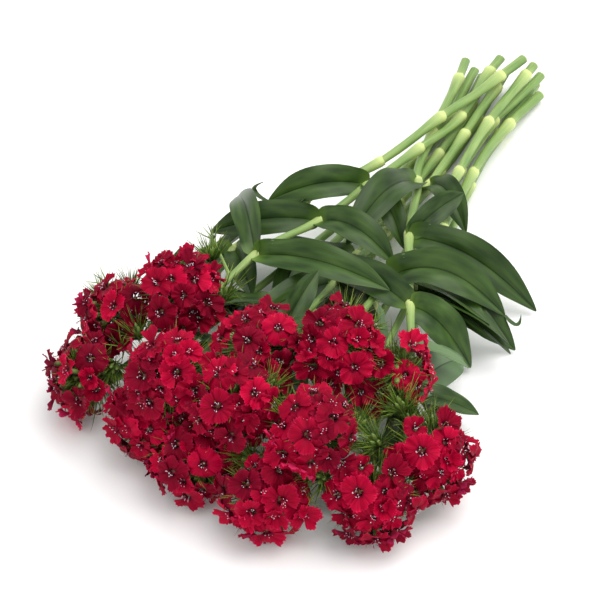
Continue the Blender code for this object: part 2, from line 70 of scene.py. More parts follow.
# Offset from the node, thickness, paleness and raggedness. After 2.2 the surface turns back into the socket,
# out of which the next length grows.
NODE_PROFILE = (
    (-24, 1.0, 0.0, 0.0), (-18, 1.06, 0.05, 0.0), (-12, 1.15, 0.15, 0.0), (-7, 1.23, 0.3, 0.0),
    (-3.2, 1.29, 0.5, 0.0), (-1.8, 1.25, 0.6, 0.0), (-0.8, 1.33, 0.8, 0.0), (0.6, 1.36, 0.9, 0.3),
    (2.2, 1.28, 0.9, 1.8), (2.0, 1.16, 0.8, 1.6), (0.4, 1.0, 0.5, 0.0), (3.0, 0.96, 0.2, 0.0),
    (8, 0.95, 0.05, 0.0), (15, 0.97, 0.0, 0.0),
)
# Thickness, whiteness and depth below the cut, from the stem's skin to its pith.
CUT_PROFILE = ((1.0, 0.0, 2.0), (0.99, 1.0, 0.3), (0.90, 1.0, 0.0), (0.5, 1.0, 0.25), (0.3, 0.7, 0.9))
NODE_PALE = (0.62, 0.72, 0.26, 1.0)
CUT_PALE = (0.66, 0.74, 0.42, 1.0)

# Fine leaves. The stations are shares of the length, close together at the foot and at the tip.
LEAF_STATIONS = np.array(
    (*np.linspace(0, 0.12, 5)[:-1], *np.linspace(0.12, 0.9, 17), 0.94, 0.97, 0.99, 0.998)
)
LEAF_COLUMNS = 11
LEAF_SHEET = 0.3
LEAF_CHANNEL = 0.16
TIP_TAPER = 0.42
TIP_SHARE = 0.28
TIP_START = 2.571
RIB = 0.7
# A leaf's dark and light greens, and the green of its foot.
LEAF_COLOURS = ((0.010, 0.034, 0.0036), (0.059, 0.117, 0.024), (0.14, 0.25, 0.05))
LEAF_UNDER_COLOURS = ((0.10, 0.165, 0.085), (0.16, 0.24, 0.13), (0.22, 0.36, 0.10))
# A painted sheen: the paler, bluer grey-green mixed into some leaves' colour, and how much of it.
SHEEN_GREEN = (0.13, 0.215, 0.105, 1.0)
SHEEN_SHARE = 0.8
SLIP_COLUMNS = 5
SLIP_ROWS = 12
SLIP_TINT = 0.2

# Fine flowers
PETAL_COLUMNS = 17
PETAL_ROWS = (0.0, 0.13, 0.37, 0.68, 0.93, 1.0)
PETAL_SPREAD = ((0.0, 16), (0.12, 30), (0.4, 43), (0.8, 44), (1.0, 40))
PETAL_CLAW = 0.13
PETAL_SHEET = 0.22
PETAL_RAMP = (
    (0.0, (0.05, 0.0003, 0.009)), (0.1, (0.12, 0.0004, 0.012)), (0.24, (0.285, 0.0008, 0.019)),
    (0.85, (0.385, 0.001, 0.025)), (1.0, (0.53, 0.01, 0.05)),
)
FLOWER_TINTS = ((0.0, (0.5, 0.6, 0.7)), (0.5, (0.84, 0.86, 0.92)), (1.0, (1.8, 1.45, 1.95)))
UNDERSIDE_RAMP = ((0.0, (0.22, 0.04, 0.03)), (0.4, (0.38, 0.012, 0.05)), (1.0, (0.52, 0.03, 0.10)))
OPENINGS = (-0.12, -0.04, 0.0, 0.06, 0.14, 0.26)
FILLERS = 12
FILLER_TRIES = 160
FILLER_OPENINGS = (0.0, 0.12, 0.3, 0.5)
FILLER_SPACING = 7.6
FILLER_EDGE = 104
BUDS = 26
FACE_SWAY = 0.11
RIM_LIFT = 0.34
CALYX_LENGTH = 13.0
CALYX_RADII = (1.3, 1.6, 1.9, 1.5, 0.9)
PEDICEL_RADII = (0.9, 0.8, 0.8, 0.9, 1.1)
FILAMENT_RADII = (0.14, 0.12, 0.1)
BUD_RADII = (0.9, 1.4, 1.8, 1.9, 2.1, 1.7, 0.4)
TUFT_BUD_RADII = (1.0, 1.5, 1.7, 1.4, 0.4)
GAP_SHARE = 0.76
GAP_BRISTLES = 90
RIM_BRISTLES = 120
TUFT_BRISTLES = 62
TUFT_SPREAD = 46
TUFT_ROOT = 15.0
BRISTLE_RADIUS = 0.42
BRACT_SHARE = 1.3
LOWEST_TIP = 0.5
BRISTLE_RAMP = (
    (0.0, (0.07, 0.13, 0.02)), (0.45, (0.13, 0.24, 0.03)),
    (0.85, (0.20, 0.29, 0.04)), (1.0, (0.32, 0.14, 0.06)),
)
BRISTLE_TINTS = ((0.0, (0.32, 0.36, 0.32)), (0.5, (0.85, 0.85, 0.85)), (1.0, (1.6, 1.45, 1.2)))
THIRDS = np.radians((0, 120, 240))

# Extra tufts of bracts and buds: stem, middle, the way it points, and size.
Tuft = namedtuple("Tuft", "stem centre ahead size")
TUFTS = (
    Tuft("10", (-138, -128, 54), (-0.4, 0.1, 1), 1.0),
    Tuft("10", (-116, -121, 60), (0.1, -0.1, 1), 1.0),
    Tuft("01", (-94, -192, 44), (0.3, -0.8, 0.4), 1.2),
    Tuft("01", (-100, -198, 30), (0.3, -0.9, 0.1), 1.2),
    Tuft("06", (-93, -162, 62), (-0.1, -0.2, 1), 1.1),
    Tuft("02", (-69, -198, 50), (-0.2, -0.5, 0.8), 1.1),
    Tuft("11", (-83, -74, 66), (-0.3, 0.3, 1), 1.1),
    Tuft("11", (-48, -120, 74), (0.3, -0.1, 1), 1.3),
    Tuft("12", (-19, -210, 80), (0.0, -0.3, 1), 1.0),
    Tuft("12", (17, -192, 84), (0.2, -0.2, 1), 1.0),
    Tuft("07", (34, -209, 84), (0.1, -0.2, 1), 1.0),
    Tuft("13", (34, -107, 76), (0.3, 0.3, 1), 1.2),
    Tuft("13", (76, -126, 70), (0.2, -0.2, 1), 1.0),
    Tuft("09", (85, -155, 60), (-0.1, -0.3, 1), 1.2),
    Tuft("09", (95, -155, 52), (0.2, -0.2, 1), 1.1),
    Tuft("13", (70, -140, 54), (0.4, -0.5, 0.8), 1.0),
    Tuft("09", (80, -154, 48), (0.2, -0.5, 0.9), 1.0),
    Tuft("08", (70, -172, 56), (0.3, 0.1, 1), 1.0),
    Tuft("14", (109, -149, 52), (0.1, 0.2, 1), 1.1),
    Tuft("14", (83, -192, 60), (-0.2, -0.5, 1), 1.2),
    Tuft("05", (80, -193, 46), (-0.2, -0.6, 0.9), 1.1),
    Tuft("07", (14, -229, 50), (-0.1, -0.7, 0.8), 1.1),
    Tuft("07", (26, -226, 46), (0.2, -0.8, 0.7), 1.1),
    Tuft("08", (63, -226, 46), (0.1, -0.8, 0.7), 1.1),
    Tuft("03", (51, -232, 38), (0.1, -0.9, 0.5), 1.1),
    Tuft("05", (81, -204, 32), (-0.3, -0.9, 0.4), 1.0),
)

# Small flowers low on a head's side: stem, centre and the way each faces. All have the same spin, radius and
# opening.
LowFlower = namedtuple("LowFlower", "stem centre face")
LOW_FLOWER_SHAPE = (20, 10, 0.1)
LOW_FLOWERS = (
    LowFlower("13", (60, -153, 53), (0.3, -0.7, 0.6)),
    LowFlower("13", (70, -146, 50), (0.5, -0.4, 0.7)),
    LowFlower("09", (66, -152, 42), (0.1, -0.7, 0.7)),
)

# Curled slips at the ends of leaves: stem, root, middle, tip and width.
Slip = namedtuple("Slip", "stem root middle tip width")
SLIPS = (
    Slip("11", (-78.5, 11, 36), (-97, 9, 42), (-85, 17, 47), 4.5),
    Slip("13", (107, -17.8, 22.2), (121, -25, 16), (115.5, -9, 19), 3.6),
)

# Stems
STEM_RADIUS_HEAD = 2.3
STEM_RADIUS_CUT = 3.9
NODE_SWELL = 1.4
NODE_SHOULDER = 18
NODE_STEP = 2.2
STEM_SIDES = 5
STEP_ALONG = 4.0
STEM_GAP = 0.7
SETTLE_ROUNDS = 90
NEAR_PAIRS = 22
CORE_MARGIN = 5
NECK_LENGTH = 45
NECK_STRAIGHT = 16
CURVE_SAMPLES = 40
LAST_INTERNODE = 8
SHIFT = (3.8, 0.6, 0.0)

# Flower heads
HEAD_DEPTH = 24
CUP_RADIUS = 13.0
CORE_RADIUS = 15.0
FOCUS_HEIGHT = 3.0
DOME_RADIUS = 26.0
DOME_DEPTH = 22.5
DOME_EDGE = 86
FLOWER_RADIUS = 12.0
GOLDEN_TURN = 137.508

# Bracts and leaves
BRACTS_PER_HEAD = 8
BRACT_LENGTH = 29
BRACT_RADIUS = 1.0
SHOOT_BRACT_RADIUS = 0.9
LEAF_LENGTH = 84
LEAF_WIDTH = 23
TOP_LEAF = 0.7
LEAF_THICKNESS = 1.1
LEAF_FOLD = 0.14
LEAF_SPREAD = (-100.0, 122.0)
LEAF_FOOT = 2
CLEARANCE = 0.35
KEY_STEP = 977

Head = namedtuple("Head", "centre azimuth tilt size flowers")
Stem = namedtuple("Stem", "name head first_node internode leafy_nodes path")

# Each head's dome centre and the way it faces (azimuth from +X, tilt above level), its size and number of
# flowers, then the first node, the length between nodes, the leafy nodes and the stem's way to its cut end.
STEMS = (
    Stem("01", Head((-113, -187, 29), -138, 18, 1, 9), 36, 68, 3,
         ((-62, -60, 12), (-14, 165, 3.7), (-20, 238, 3.9))),
    Stem("02", Head((-60, -204, 28), -100, 14, 1, 9), 40, 70, 3,
         ((-40, -60, 10), (-3, 165, 3.7), (-8, 250, 3.9))),
    Stem("03", Head((-20, -222, 28), -84, 14, 1, 9), 38, 72, 3,
         ((-14, -80, 10), (8, 165, 3.7), (6, 243, 3.9))),
    Stem("04", Head((32, -233, 28), -68, 16, 1, 9), 42, 70, 3,
         ((18, -80, 10), (18, 165, 3.7), (21, 254, 3.9))),
    Stem("05", Head((92, -209, 28), -54, 12, 1, 9), 26, 71, 3,
         ((53, -28, 22), (28, 165, 4), (33, 257, 3.9))),
    Stem("06", Head((-46, -202, 69), -90, 32, 1, 9), 40, 66, 3,
         ((-34, -80, 34), (-9, 165, 14), (-14, 246, 12))),
    Stem("07", Head((-1, -206, 69), -66, 36, 1, 9), 44, 70, 3,
         ((-8, -80, 34), (2, 165, 14), (-2, 239, 13))),
    Stem("08", Head((51, -207, 66), -58, 40, 1, 9), 42, 68, 3,
         ((36, -80, 32), (23, 165, 14), (36, 258, 13))),
    Stem("09", Head((75, -129, 54), -10, 44, 0.8, 5), 34, 72, 2,
         ((48, -60, 30), (32, 165, 15), (41, 243, 6))),
    Stem("10", Head((-113, -144, 42), -124, 38, 1, 9), 20, 70, 3,
         ((-80, -50, 36), (-50, 40, 34), (-28, 85, 32), (-6, 154, 31), (11, 206, 29), (22, 255, 26))),
    Stem("11", Head((-72, -134, 70), -88, 56, 1, 9), 66, 60, 3,
         ((-53, -53, 52), (-33, -4, 46), (-21, 55, 38), (-8, 110, 32), (2, 165, 24), (5, 253, 23))),
    Stem("12", Head((-6, -158, 68), -66, 54, 1, 9), 34, 67, 2,
         ((-6, -90, 42), (6, 29, 29), (11, 80, 25), (13, 165, 22), (12, 240, 20))),
    Stem("13", Head((41, -144, 75), -49, 54, 1, 9), 38, 68, 2,
         ((28, -90, 46), (32, 20, 36), (24, 165, 23), (30, 257, 21))),
    Stem("14", Head((112, -170, 34), -36, 18, 1, 9), 38, 72, 3,
         ((81, -122, 36), (54, -56, 45), (25, 15, 42), (10, 68, 34), (-2, 100, 25), (-8, 135, 21),
          (-13, 195, 22), (-20, 247, 16))),
)

# Leaves that show: stem, node from the head, tip, lift of the middle, width, and roll about its own line.
Leaf = namedtuple("Leaf", "stem node tip lift width roll")
SHOWN_LEAVES = (
    Leaf("05", 2, (120, -28, 4), 24, 27, 25),
    Leaf("14", 2, (120, 14, 4), 26, 27, 30),
    Leaf("13", 1, (108, -18, 14), 30, 29, 25),
    Leaf("14", 1, (100, -57, 5), 24, 27, 25),
    Leaf("14", 1, (-17, -36, 38), 16, 26, -20),
    Leaf("11", 0, (38, -41, 52), 22, 25, 25),
    Leaf("14", 3, (-9, -14, 40), 40, 26, -20),
    Leaf("11", 2, (52, 44, 26), 22, 24, 10),
    Leaf("11", 1, (26, -14, 36), 24, 24, 20),
    Leaf("12", 3, (48, 44, 22), 34, 20, 20),
    Leaf("14", 2, (50, 52, 56), 10, 18, 35),
    Leaf("11", 2, (-79, 11, 28), 20, 25, -35),
    Leaf("11", 1, (-105, -37, 30), 14, 25, -35),
    Leaf("11", 0, (-100, 6, 38), 34, 21, -30),
    Leaf("14", 0, (97, -64, 20), 16, 27, 35),
    Leaf("14", 0, (122, -104, 14), 10, 17, 15),
    Leaf("12", 1, (52, -57, 26), 22, 24, 20),
    Leaf("13", 1, (0, -62, 32), 10, 22, -20),
    Leaf("12", 1, (-58, -86, 34), 10, 24, -25),
    Leaf("12", 0, (-5, -70, 64), 4, 17, 40),
    Leaf("09", 0, (42, -80, 60), 4, 15, 60),
    Leaf("10", 0, (-98, -84, 62), 4, 18, 40),
    Leaf("10", 1, (-50, -78, 46), 16, 20, 20),
)

# Leaves with a painted sheen, a paler, bluer grey-green mixed into their colour: stem and order of placing.
SHEEN_LEAVES = (("09", 0), ("09", 1), ("14", 5))

# Leaves low in the pile, which show only through the gaps between the heads.
LOW_LEAVES = (
    Leaf("13", 0, (58, -150, 30), 6, 22, 10),
    Leaf("09", 0, (74, -160, 16), 8, 22, 0),
    Leaf("14", 0, (90, -180, 20), 8, 18, -10),
    Leaf("07", 0, (22, -196, 24), 6, 20, 0),
    Leaf("06", 0, (-70, -178, 24), 6, 18, 0),
    Leaf("10", 0, (-84, -176, 16), 6, 18, 0),
)

# Side shoots with unopened buds: stem, arc length from the head, tip of the shoot.
Shoot = namedtuple("Shoot", "stem along tip")
SHOOTS = (
    Shoot("11", 40, (-86, -60, 54)),
    Shoot("10", 16, (-131, -126, 52)),
    Shoot("11", 18, (-52, -108, 62)),
    Shoot("13", 22, (48, -108, 66)),
    Shoot("14", 16, (82, -146, 52)),
    Shoot("01", 16, (-99, -168, 44)),
)


def unit(vector):
    vector = np.asarray(vector, float)
    return vector / np.linalg.norm(vector)


def across(direction):
    """Two unit vectors square to a direction: a level one and the one above it."""
    side = np.cross(direction, UP)
    if np.linalg.norm(side) < 0.05:
        side = np.cross(direction, (0.0, 1.0, 0.0))
    side = unit(side)
    return side, np.cross(side, direction)


def turned(vector, axis, degrees):
    """The vector turned about a unit axis."""
    angle = math.radians(degrees)
    return (
        vector * math.cos(angle)
        + np.cross(axis, vector) * math.sin(angle)
        + axis * (axis @ vector) * (1 - math.cos(angle))
    )


def swung(angle, start, toward):
    """The direction at an angle in radians from start, on its way to toward."""
    return math.cos(angle) * start + math.sin(angle) * toward


def random_for(*key):
    """Numbers that are the same on each run, with a draw of their own for each key."""
    seeds = [sum(map(ord, str(word))) + KEY_STEP * place for place, word in enumerate(key)]
    return np.random.default_rng(seeds)


# Stem paths


def facing(head):
    azimuth, tilt = math.radians(head.azimuth), math.radians(head.tilt)
    return np.array((math.cos(azimuth) * math.cos(tilt), math.sin(azimuth) * math.cos(tilt), math.sin(tilt)))


def head_axes(head):
    """The way a head faces, and two directions square to it."""
    normal = facing(head)
    return normal, *across(normal)


def head_base(head):
    return np.array(head.centre, float) - HEAD_DEPTH * head.size * facing(head)


def between(start, end, start_at, end_at, t):
    """The point at t on the way from one at start_at to one at end_at."""
    return (end_at - t) / (end_at - start_at) * start + (t - start_at) / (end_at - start_at) * end


def smooth_path(points, step):
    """Points at even steps along a Catmull-Rom curve through the given ones."""
    points = np.asarray(points, float)
    ends = np.vstack((2 * points[0] - points[1], points, 2 * points[-1] - points[-2]))
    knots = np.concatenate(([0.0], np.cumsum(np.sqrt(np.linalg.norm(np.diff(ends, axis=0), axis=1)))))
    dense = []
    for i in range(1, len(ends) - 2):
        a, b, c, d = ends[i - 1:i + 3]
        ta, tb, tc, td = knots[i - 1:i + 3]
        t = np.linspace(tb, tc, CURVE_SAMPLES, endpoint=False)[:, None]
        ab, bc, cd = between(a, b, ta, tb, t), between(b, c, tb, tc, t), between(c, d, tc, td, t)
        abc, bcd = between(ab, bc, ta, tc, t), between(bc, cd, tb, td, t)
        dense.append(between(abc, bcd, tb, tc, t))
    return even_steps(np.vstack(dense + [points[-1:]]), step)


def even_steps(points, step):
    lengths = np.concatenate(([0.0], np.cumsum(np.linalg.norm(np.diff(points, axis=0), axis=1))))
    count = max(2, round(lengths[-1] / step) + 1)
    at = np.linspace(0, lengths[-1], count)
    return np.column_stack([np.interp(at, lengths, points[:, k]) for k in range(3)])


def stem_path(stem):
    """The stem's line from its head's base to its cut end, as laid out."""
    base = head_base(stem.head)
    arrival = unit(0.6 * facing(stem.head) + unit(base - np.array(stem.path[0], float)))
    return smooth_path([base, base - NECK_STRAIGHT * arrival, *stem.path], STEP_ALONG)


def arc_lengths(path):
    return np.concatenate(([0.0], np.cumsum(np.linalg.norm(np.diff(path, axis=0), axis=1))))


def stem_radii(path):
    share = arc_lengths(path) / arc_lengths(path)[-1]
    return STEM_RADIUS_HEAD + (STEM_RADIUS_CUT - STEM_RADIUS_HEAD) * share


def smoothed(shift, reach=9):
    """A push spread along its stem, so that the stem bends instead of kinking."""
    spread = np.hanning(2 * reach + 1)
    padded = np.pad(shift, ((reach, reach), (0, 0)), mode="edge")
    return np.column_stack([np.convolve(padded[:, k], spread / spread.max(), "valid") for k in range(3)])


def rings(stem, path):
    """Arc lengths along the stem, and how much thicker or thinner it is there than its plain taper."""
    table = [(0.0, 1.0)]
    for node in node_lengths(stem, path):
        if node - NODE_SHOULDER > table[-1][0] + 6:
            table.append((node - NODE_SHOULDER, 1.06))
        table += [(node, NODE_SWELL), (node + NODE_STEP, 0.96)]
    return table + [(arc_lengths(path)[-1], 1.0)]


def reach_of(stem, path):
    """The stem's radius at each point of its path, with each node's bulge spread to the points beside it."""
    along, swell = zip(*rings(stem, path))
    local = np.interp(arc_lengths(path), along, swell)
    wide = np.maximum(local, np.maximum(np.append(local[1:], 1), np.append(1, local[:-1])))
    return wide * stem_radii(path)


def close_pairs(points, owner, limit):
    """Pairs of points of different stems that are nearer than the limit."""
    squared = (points ** 2).sum(1)
    gaps = squared[:, None] + squared[None] - 2 * points @ points.T
    return np.nonzero((gaps < limit ** 2) & (owner[:, None] < owner[None]))


def gathered(index, values, count):
    """The values summed at each point they act on."""
    return np.column_stack([np.bincount(index, values[:, k], count) for k in range(values.shape[1])])


def settle(stems, paths):
    """Moves the stems apart until none runs through another, a head's core or the surface."""
    owner = np.concatenate([np.full(len(path), i) for i, path in enumerate(paths)])
    radius = np.concatenate([stem_radii(path) for path in paths])
    bulge = np.concatenate([reach_of(stem, path) for stem, path in zip(stems, paths)])
    free = np.concatenate([np.clip(arc_lengths(path) / NECK_LENGTH, 0, 1) for path in paths])
    starts = np.cumsum([0] + [len(path) for path in paths])
    cores = np.array([stem.head.centre for stem in stems], float)
    core_reach = np.array([(CORE_RADIUS + CORE_MARGIN) * stem.head.size for stem in stems])
    points = np.concatenate(paths)
    for turn in range(SETTLE_ROUNDS):
        if turn % 10 == 0:
            one, other = close_pairs(points, owner, NEAR_PAIRS)
            reach = bulge[one] + bulge[other] + STEM_GAP
        apart = points[one] - points[other]
        distance = np.linalg.norm(apart, axis=1) + 1e-6
        push = np.clip(reach - distance, 0, None) / distance
        moves = 0.5 * np.column_stack((apart * push[:, None], push > 0))
        moves[:, 3] *= 2
        both = gathered(one, moves, len(points)) + gathered(other, moves * (-1, -1, -1, 1), len(points))
        shift = both[:, :3] / np.maximum(both[:, 3:], 1)
        from_core = points[:, None] - cores[None]
        core_distance = np.linalg.norm(from_core, axis=2) + 1e-6
        core_push = np.clip(core_reach[None] + radius[:, None] - core_distance, 0, None) / core_distance
        core_push[np.arange(len(points)), owner] = 0
        shift += 0.3 * (from_core * core_push[:, :, None]).sum(1)
        for a, b in zip(starts[:-1], starts[1:]):
            points[a:b] += smoothed(shift[a:b]) * 0.35 * free[a:b, None]
        lowest = NODE_SWELL * radius * math.cos(math.pi / STEM_SIDES) + 0.05
        points[:, 2] = np.maximum(points[:, 2], lowest)
    return [points[a:b] for a, b in zip(starts[:-1], starts[1:])]


def at_length(path, along):
    """The point at an arc length from the head's base, and the way to the head there."""
    lengths = arc_lengths(path)
    along = min(max(along, 0.0), lengths[-1])
    point = np.array([np.interp(along, lengths, path[:, k]) for k in range(3)])
    i = min(max(int(np.searchsorted(lengths, along)), 1), len(path) - 1)
    return point, unit(path[i - 1] - path[i])


def node_lengths(stem, path):
    """Arc lengths of the stem's nodes, counted from the head."""
    total = arc_lengths(path)[-1]
    return np.arange(stem.first_node, total - LAST_INTERNODE, stem.internode)


# Closed forms, each as (corners, triangles)


def outward(corners, faces):
    """Corners and triangles, with the triangles wound so that they face out."""
    corners = np.array(corners, float)
    a, b, c = (corners[[face[k] for face in faces]] for k in range(3))
    if np.einsum("ij,ij->", a, np.cross(b, c)) < 0:
        faces = [face[::-1] for face in faces]
    return corners, faces


def tube(points, radii, sides):
    """A bar along the points, closed with a flat cap at each end."""
    points = np.asarray(points, float)
    tangents = np.gradient(points, axis=0)
    corners = []
    for point, tangent, radius in zip(points, tangents, radii):
        side, up = across(unit(tangent))
        for k in range(sides):
            corners.append(point + radius * swung(2 * math.pi * k / sides, up, side))
    faces = []
    for ring in range(len(points) - 1):
        for k in range(sides):
            a, b = ring * sides + k, ring * sides + (k + 1) % sides
            faces += [(a, b, b + sides), (a, b + sides, a + sides)]
    last = (len(points) - 1) * sides
    for k in range(1, sides - 1):
        faces += [(0, k + 1, k), (last, last + k, last + k + 1)]
    return outward(corners, faces)


def needle(base, tip, radius):
    """A three-sided spike."""
    side, up = across(unit(tip - base))
    ring = [base + radius * swung(turn, up, side) for turn in THIRDS]
    return outward(ring + [tip], [(0, 1, 2), (0, 3, 1), (1, 3, 2), (2, 3, 0)])


def flower(centre, normal, spin, radius, root):
    """Five petals spread at the end of a slim tube that runs down to its root."""
    side, up = across(normal)
    throat_depth, throat_radius, reflex = 2.4, 2.1, 0.9
    rim, throat = [], []
    for petal in range(5):
        for offset, reach in ((-36, 0.68), (0, 1.0)):
            out = swung(math.radians(spin + 72 * petal + offset), side, up)
            rim.append(centre + radius * reach * out - reflex * reach * normal)
            if offset == -36:
                throat.append(centre + throat_radius * out - throat_depth * normal)
    corners = [centre - 0.5 * normal] + rim + throat + [root]
    faces = [(0, 1 + k, 1 + (k + 1) % 10) for k in range(10)]
    for petal in range(5):
        notch, tip, next_notch = 1 + 2 * petal, 2 + 2 * petal, 1 + (2 * petal + 2) % 10
        near, far = 11 + petal, 11 + (petal + 1) % 5
        faces += [(near, tip, notch), (near, far, tip), (far, next_notch, tip), (near, 16, far)]
    return outward(corners, faces)


def arch(root, middle, tip, t):
    """The point at t, from 0 to 1, of an arch that leaves its root towards the middle one."""
    return (1 - t) ** 2 * root + 2 * t * (1 - t) * middle + t * t * tip


def leaf_line(base, tip, lift):
    """The leaf's midrib: an arch from base to tip, as a function from 0 to 1."""
    middle = 0.55 * base + 0.45 * tip + lift * UP
    return lambda t: arch(base, middle, tip, t)


def leaf_width(t):
    """Share of the leaf's full width at t: a clasping foot, broadest near the middle, and a short tip."""
    return max(0.25 * (1 - t / 0.25), 0) + 2.2 * t ** 0.55 * (1 - t) ** 0.62


def blade(base, tip, lift, width, roll, grow=0.0):
    """A folded leaf blade that is thickest along its midrib, closed at foot and tip."""
    line = leaf_line(base, tip, lift)
    stations = (0.0, 0.1, 0.25, 0.45, 0.68, 0.88, 1.0)
    corners, faces = [line(0.0)], []
    for t in stations[1:-1]:
        ahead = unit(line(t + 0.02) - line(t - 0.02))
        side, up = across(ahead)
        side, up = turned(side, ahead, roll), turned(up, ahead, roll)
        half = 0.5 * width * leaf_width(t) + grow
        fold = LEAF_FOLD * width * leaf_width(t)
        middle = line(t)
        row = [
            middle - half * side + fold * up,
            middle + grow * up,
            middle + half * side + fold * up,
            middle - (LEAF_THICKNESS + grow) * up,
        ]
        lowest = min(corner[2] for corner in row)
        raise_by = max(0.0, grow + 0.2 - lowest) * UP
        corners += [corner + raise_by for corner in row]
    corners.append(line(1.0))
    for k in range(4):
        faces.append((0, 1 + k, 1 + (k + 1) % 4))
        last = len(corners) - 5
        faces.append((last + k, len(corners) - 1, last + (k + 1) % 4))
    for row in range(len(stations) - 3):
        for left, right in ((0, 1), (0, 3), (2, 1), (2, 3)):
            a, b = 1 + 4 * row + left, 1 + 4 * row + right
            pair = [(a, b, b + 4), (a, b + 4, a + 4)]
            faces += pair if (left, right) in ((0, 3), (2, 1)) else [face[::-1] for face in pair]
    return outward(corners, faces)


def turning(head, heights, radii, lift=0.0):
    """A seven-sided form round the line that a head faces along."""
    centre, normal = np.array(head.centre), facing(head)
    points = [centre + (height * head.size + lift) * normal for height in heights]
    return tube(points, np.array(radii) * head.size, 7)


def cup(head):
    """The bundle of green calyces under the flowers, as one cone with a flat top."""
    heights = (-HEAD_DEPTH - 1.5, -0.5 * HEAD_DEPTH, 0.0)
    return turning(head, heights, (STEM_RADIUS_HEAD, 0.6 * CUP_RADIUS, CUP_RADIUS))


def core(head):
    """The small dome that carries the flowers' tubes, 0.4 mm above the cup."""
    return turning(head, (0.0, 8.0, 15.0), (0.9 * CORE_RADIUS, CORE_RADIUS, 0.5 * CORE_RADIUS), 0.4)


# Placing pieces clear of each other


class Bunch:
    """What has been placed so far, and how each flower, leaf, twig and bract lies."""

    def __init__(self):
        self.notes = {}
        self.lows, self.highs, self.owners, self.trees = [], [], [], []

    def add(self, owner, shape):
        corners, faces = shape
        self.lows.append(corners.min(0))
        self.highs.append(corners.max(0))
        self.owners.append(owner)
        self.trees.append(BVHTree.FromPolygons(corners.tolist(), faces))

    def note(self, kind, stem_name, *values):
        self.notes.setdefault((kind, stem_name), []).append(values)

    def noted(self, kind, stem_name):
        return self.notes.get((kind, stem_name), [])

    def clear(self, owner, shape):
        """True if the shape crosses only its owner's pieces. A bare stem name owns the stem and its head."""
        corners, faces = shape
        low, high = corners.min(0), corners.max(0)
        near = np.flatnonzero((np.array(self.lows) < high).all(1) & (np.array(self.highs) > low).all(1))
        near = [i for i in near if not self.owners[i].endswith(owner)]
        tree = BVHTree.FromPolygons(corners.tolist(), faces) if near else None
        return not any(tree.overlap(self.trees[i]) for i in near)


def place_stem(bunch, stem, path):
    """The stem's bar: thick at each node, narrow just past it, and tapering towards the head."""
    radii = stem_radii(path)
    table = rings(stem, path)
    points = [at_length(path, along)[0] for along, _ in table]
    sizes = [np.interp(along, arc_lengths(path), radii) * swell for along, swell in table]
    bunch.add("stem_" + stem.name, tube(points, sizes, STEM_SIDES))


def flower_spots(head, name):
    """Where a head's flowers would stand if nothing pressed on it: directions from the focus, and spins."""
    normal, side, up = head_axes(head)
    draw = random_for("flowers", name)
    for k in range(head.flowers):
        share = (k + 0.5) / head.flowers
        polar = math.acos(1 - share * (1 - math.cos(math.radians(DOME_EDGE))))
        out = swung(math.radians(k * GOLDEN_TURN + draw.uniform(-12, 12)), side, up)
        polar += math.radians(draw.uniform(-5, 5))
        yield unit(swung(polar, normal, out)), draw.uniform(0, 72), draw.uniform(-1.6, 1.6)


FLOWER_TRIES = [
    (pull, lean, shrink)
    for shrink in (1.0, 0.86, 0.72) for lean in (0, 16, -14, 32) for pull in (0, 2.5, 5.0, 8.0)
]


def place_flowers(bunch, stem):
    head, normal = stem.head, facing(stem.head)
    focus = np.array(head.centre, float) + FOCUS_HEIGHT * head.size * normal
    owner = "flowers_" + stem.name
    for direction, spin, rise in flower_spots(head, stem.name):
        axis = np.cross(direction, normal)
        axis = unit(axis) if np.linalg.norm(axis) > 0.05 else across(normal)[0]
        for pull, lean, shrink in FLOWER_TRIES:
            reach = (DOME_RADIUS + rise - pull) * head.size * direction
            centre = focus + reach - (1 - DOME_DEPTH / DOME_RADIUS) * (reach @ normal) * normal
            face = turned(direction, axis, 10 + lean)
            root = focus + 5 * direction
            radius = FLOWER_RADIUS * shrink
            grown = flower(centre + CLEARANCE * face, face, spin, radius + CLEARANCE, root)
            if flat_enough(centre, face, radius) and bunch.clear(owner, on_surface(grown)):
                bunch.add(owner, on_surface(flower(centre, face, spin, radius, root)))
                bunch.note("flower", stem.name, centre, face, spin, radius)
                break


def on_surface(shape):
    """Petals that would reach below the surface are pressed flat on it."""
    corners, faces = shape
    corners = corners.copy()
    corners[:, 2] = np.maximum(corners[:, 2], 0.0)
    return corners, faces


def flat_enough(centre, face, radius):
    """False where so much of a flower would be below the surface that it couldn't be pressed flat."""
    return centre[2] - 0.55 * radius * math.sqrt(max(0.0, 1 - face[2] ** 2)) > 0.8


def place_bracts(bunch, stem):
    """Bristly bracts from the side of the cup, out past the lowest flowers."""
    head = stem.head
    normal, side, up = head_axes(head)
    draw = random_for("bracts", stem.name)
    owner = "stem_" + stem.name
    for k in range(round(BRACTS_PER_HEAD * head.size)):
        out = swung(2 * math.pi * (k + draw.uniform(-0.3, 0.3)) / BRACTS_PER_HEAD, side, up)
        root = np.array(head.centre) + (-5 * normal + 0.55 * CUP_RADIUS * out) * head.size
        length = BRACT_LENGTH * draw.uniform(0.85, 1.15)
        for lean in (78, 90, 66, 104, 118, 54):
            tip = root + length * unit(swung(math.radians(lean + draw.uniform(-4, 4)), normal, out))
            grown = needle(root, tip, BRACT_RADIUS + CLEARANCE)
            if tip[2] > LOWEST_TIP and root[2] > 2 and bunch.clear(owner, grown):
                bunch.add(owner, needle(root, tip, BRACT_RADIUS))
                bunch.note("bract", stem.name, root, tip)
                break


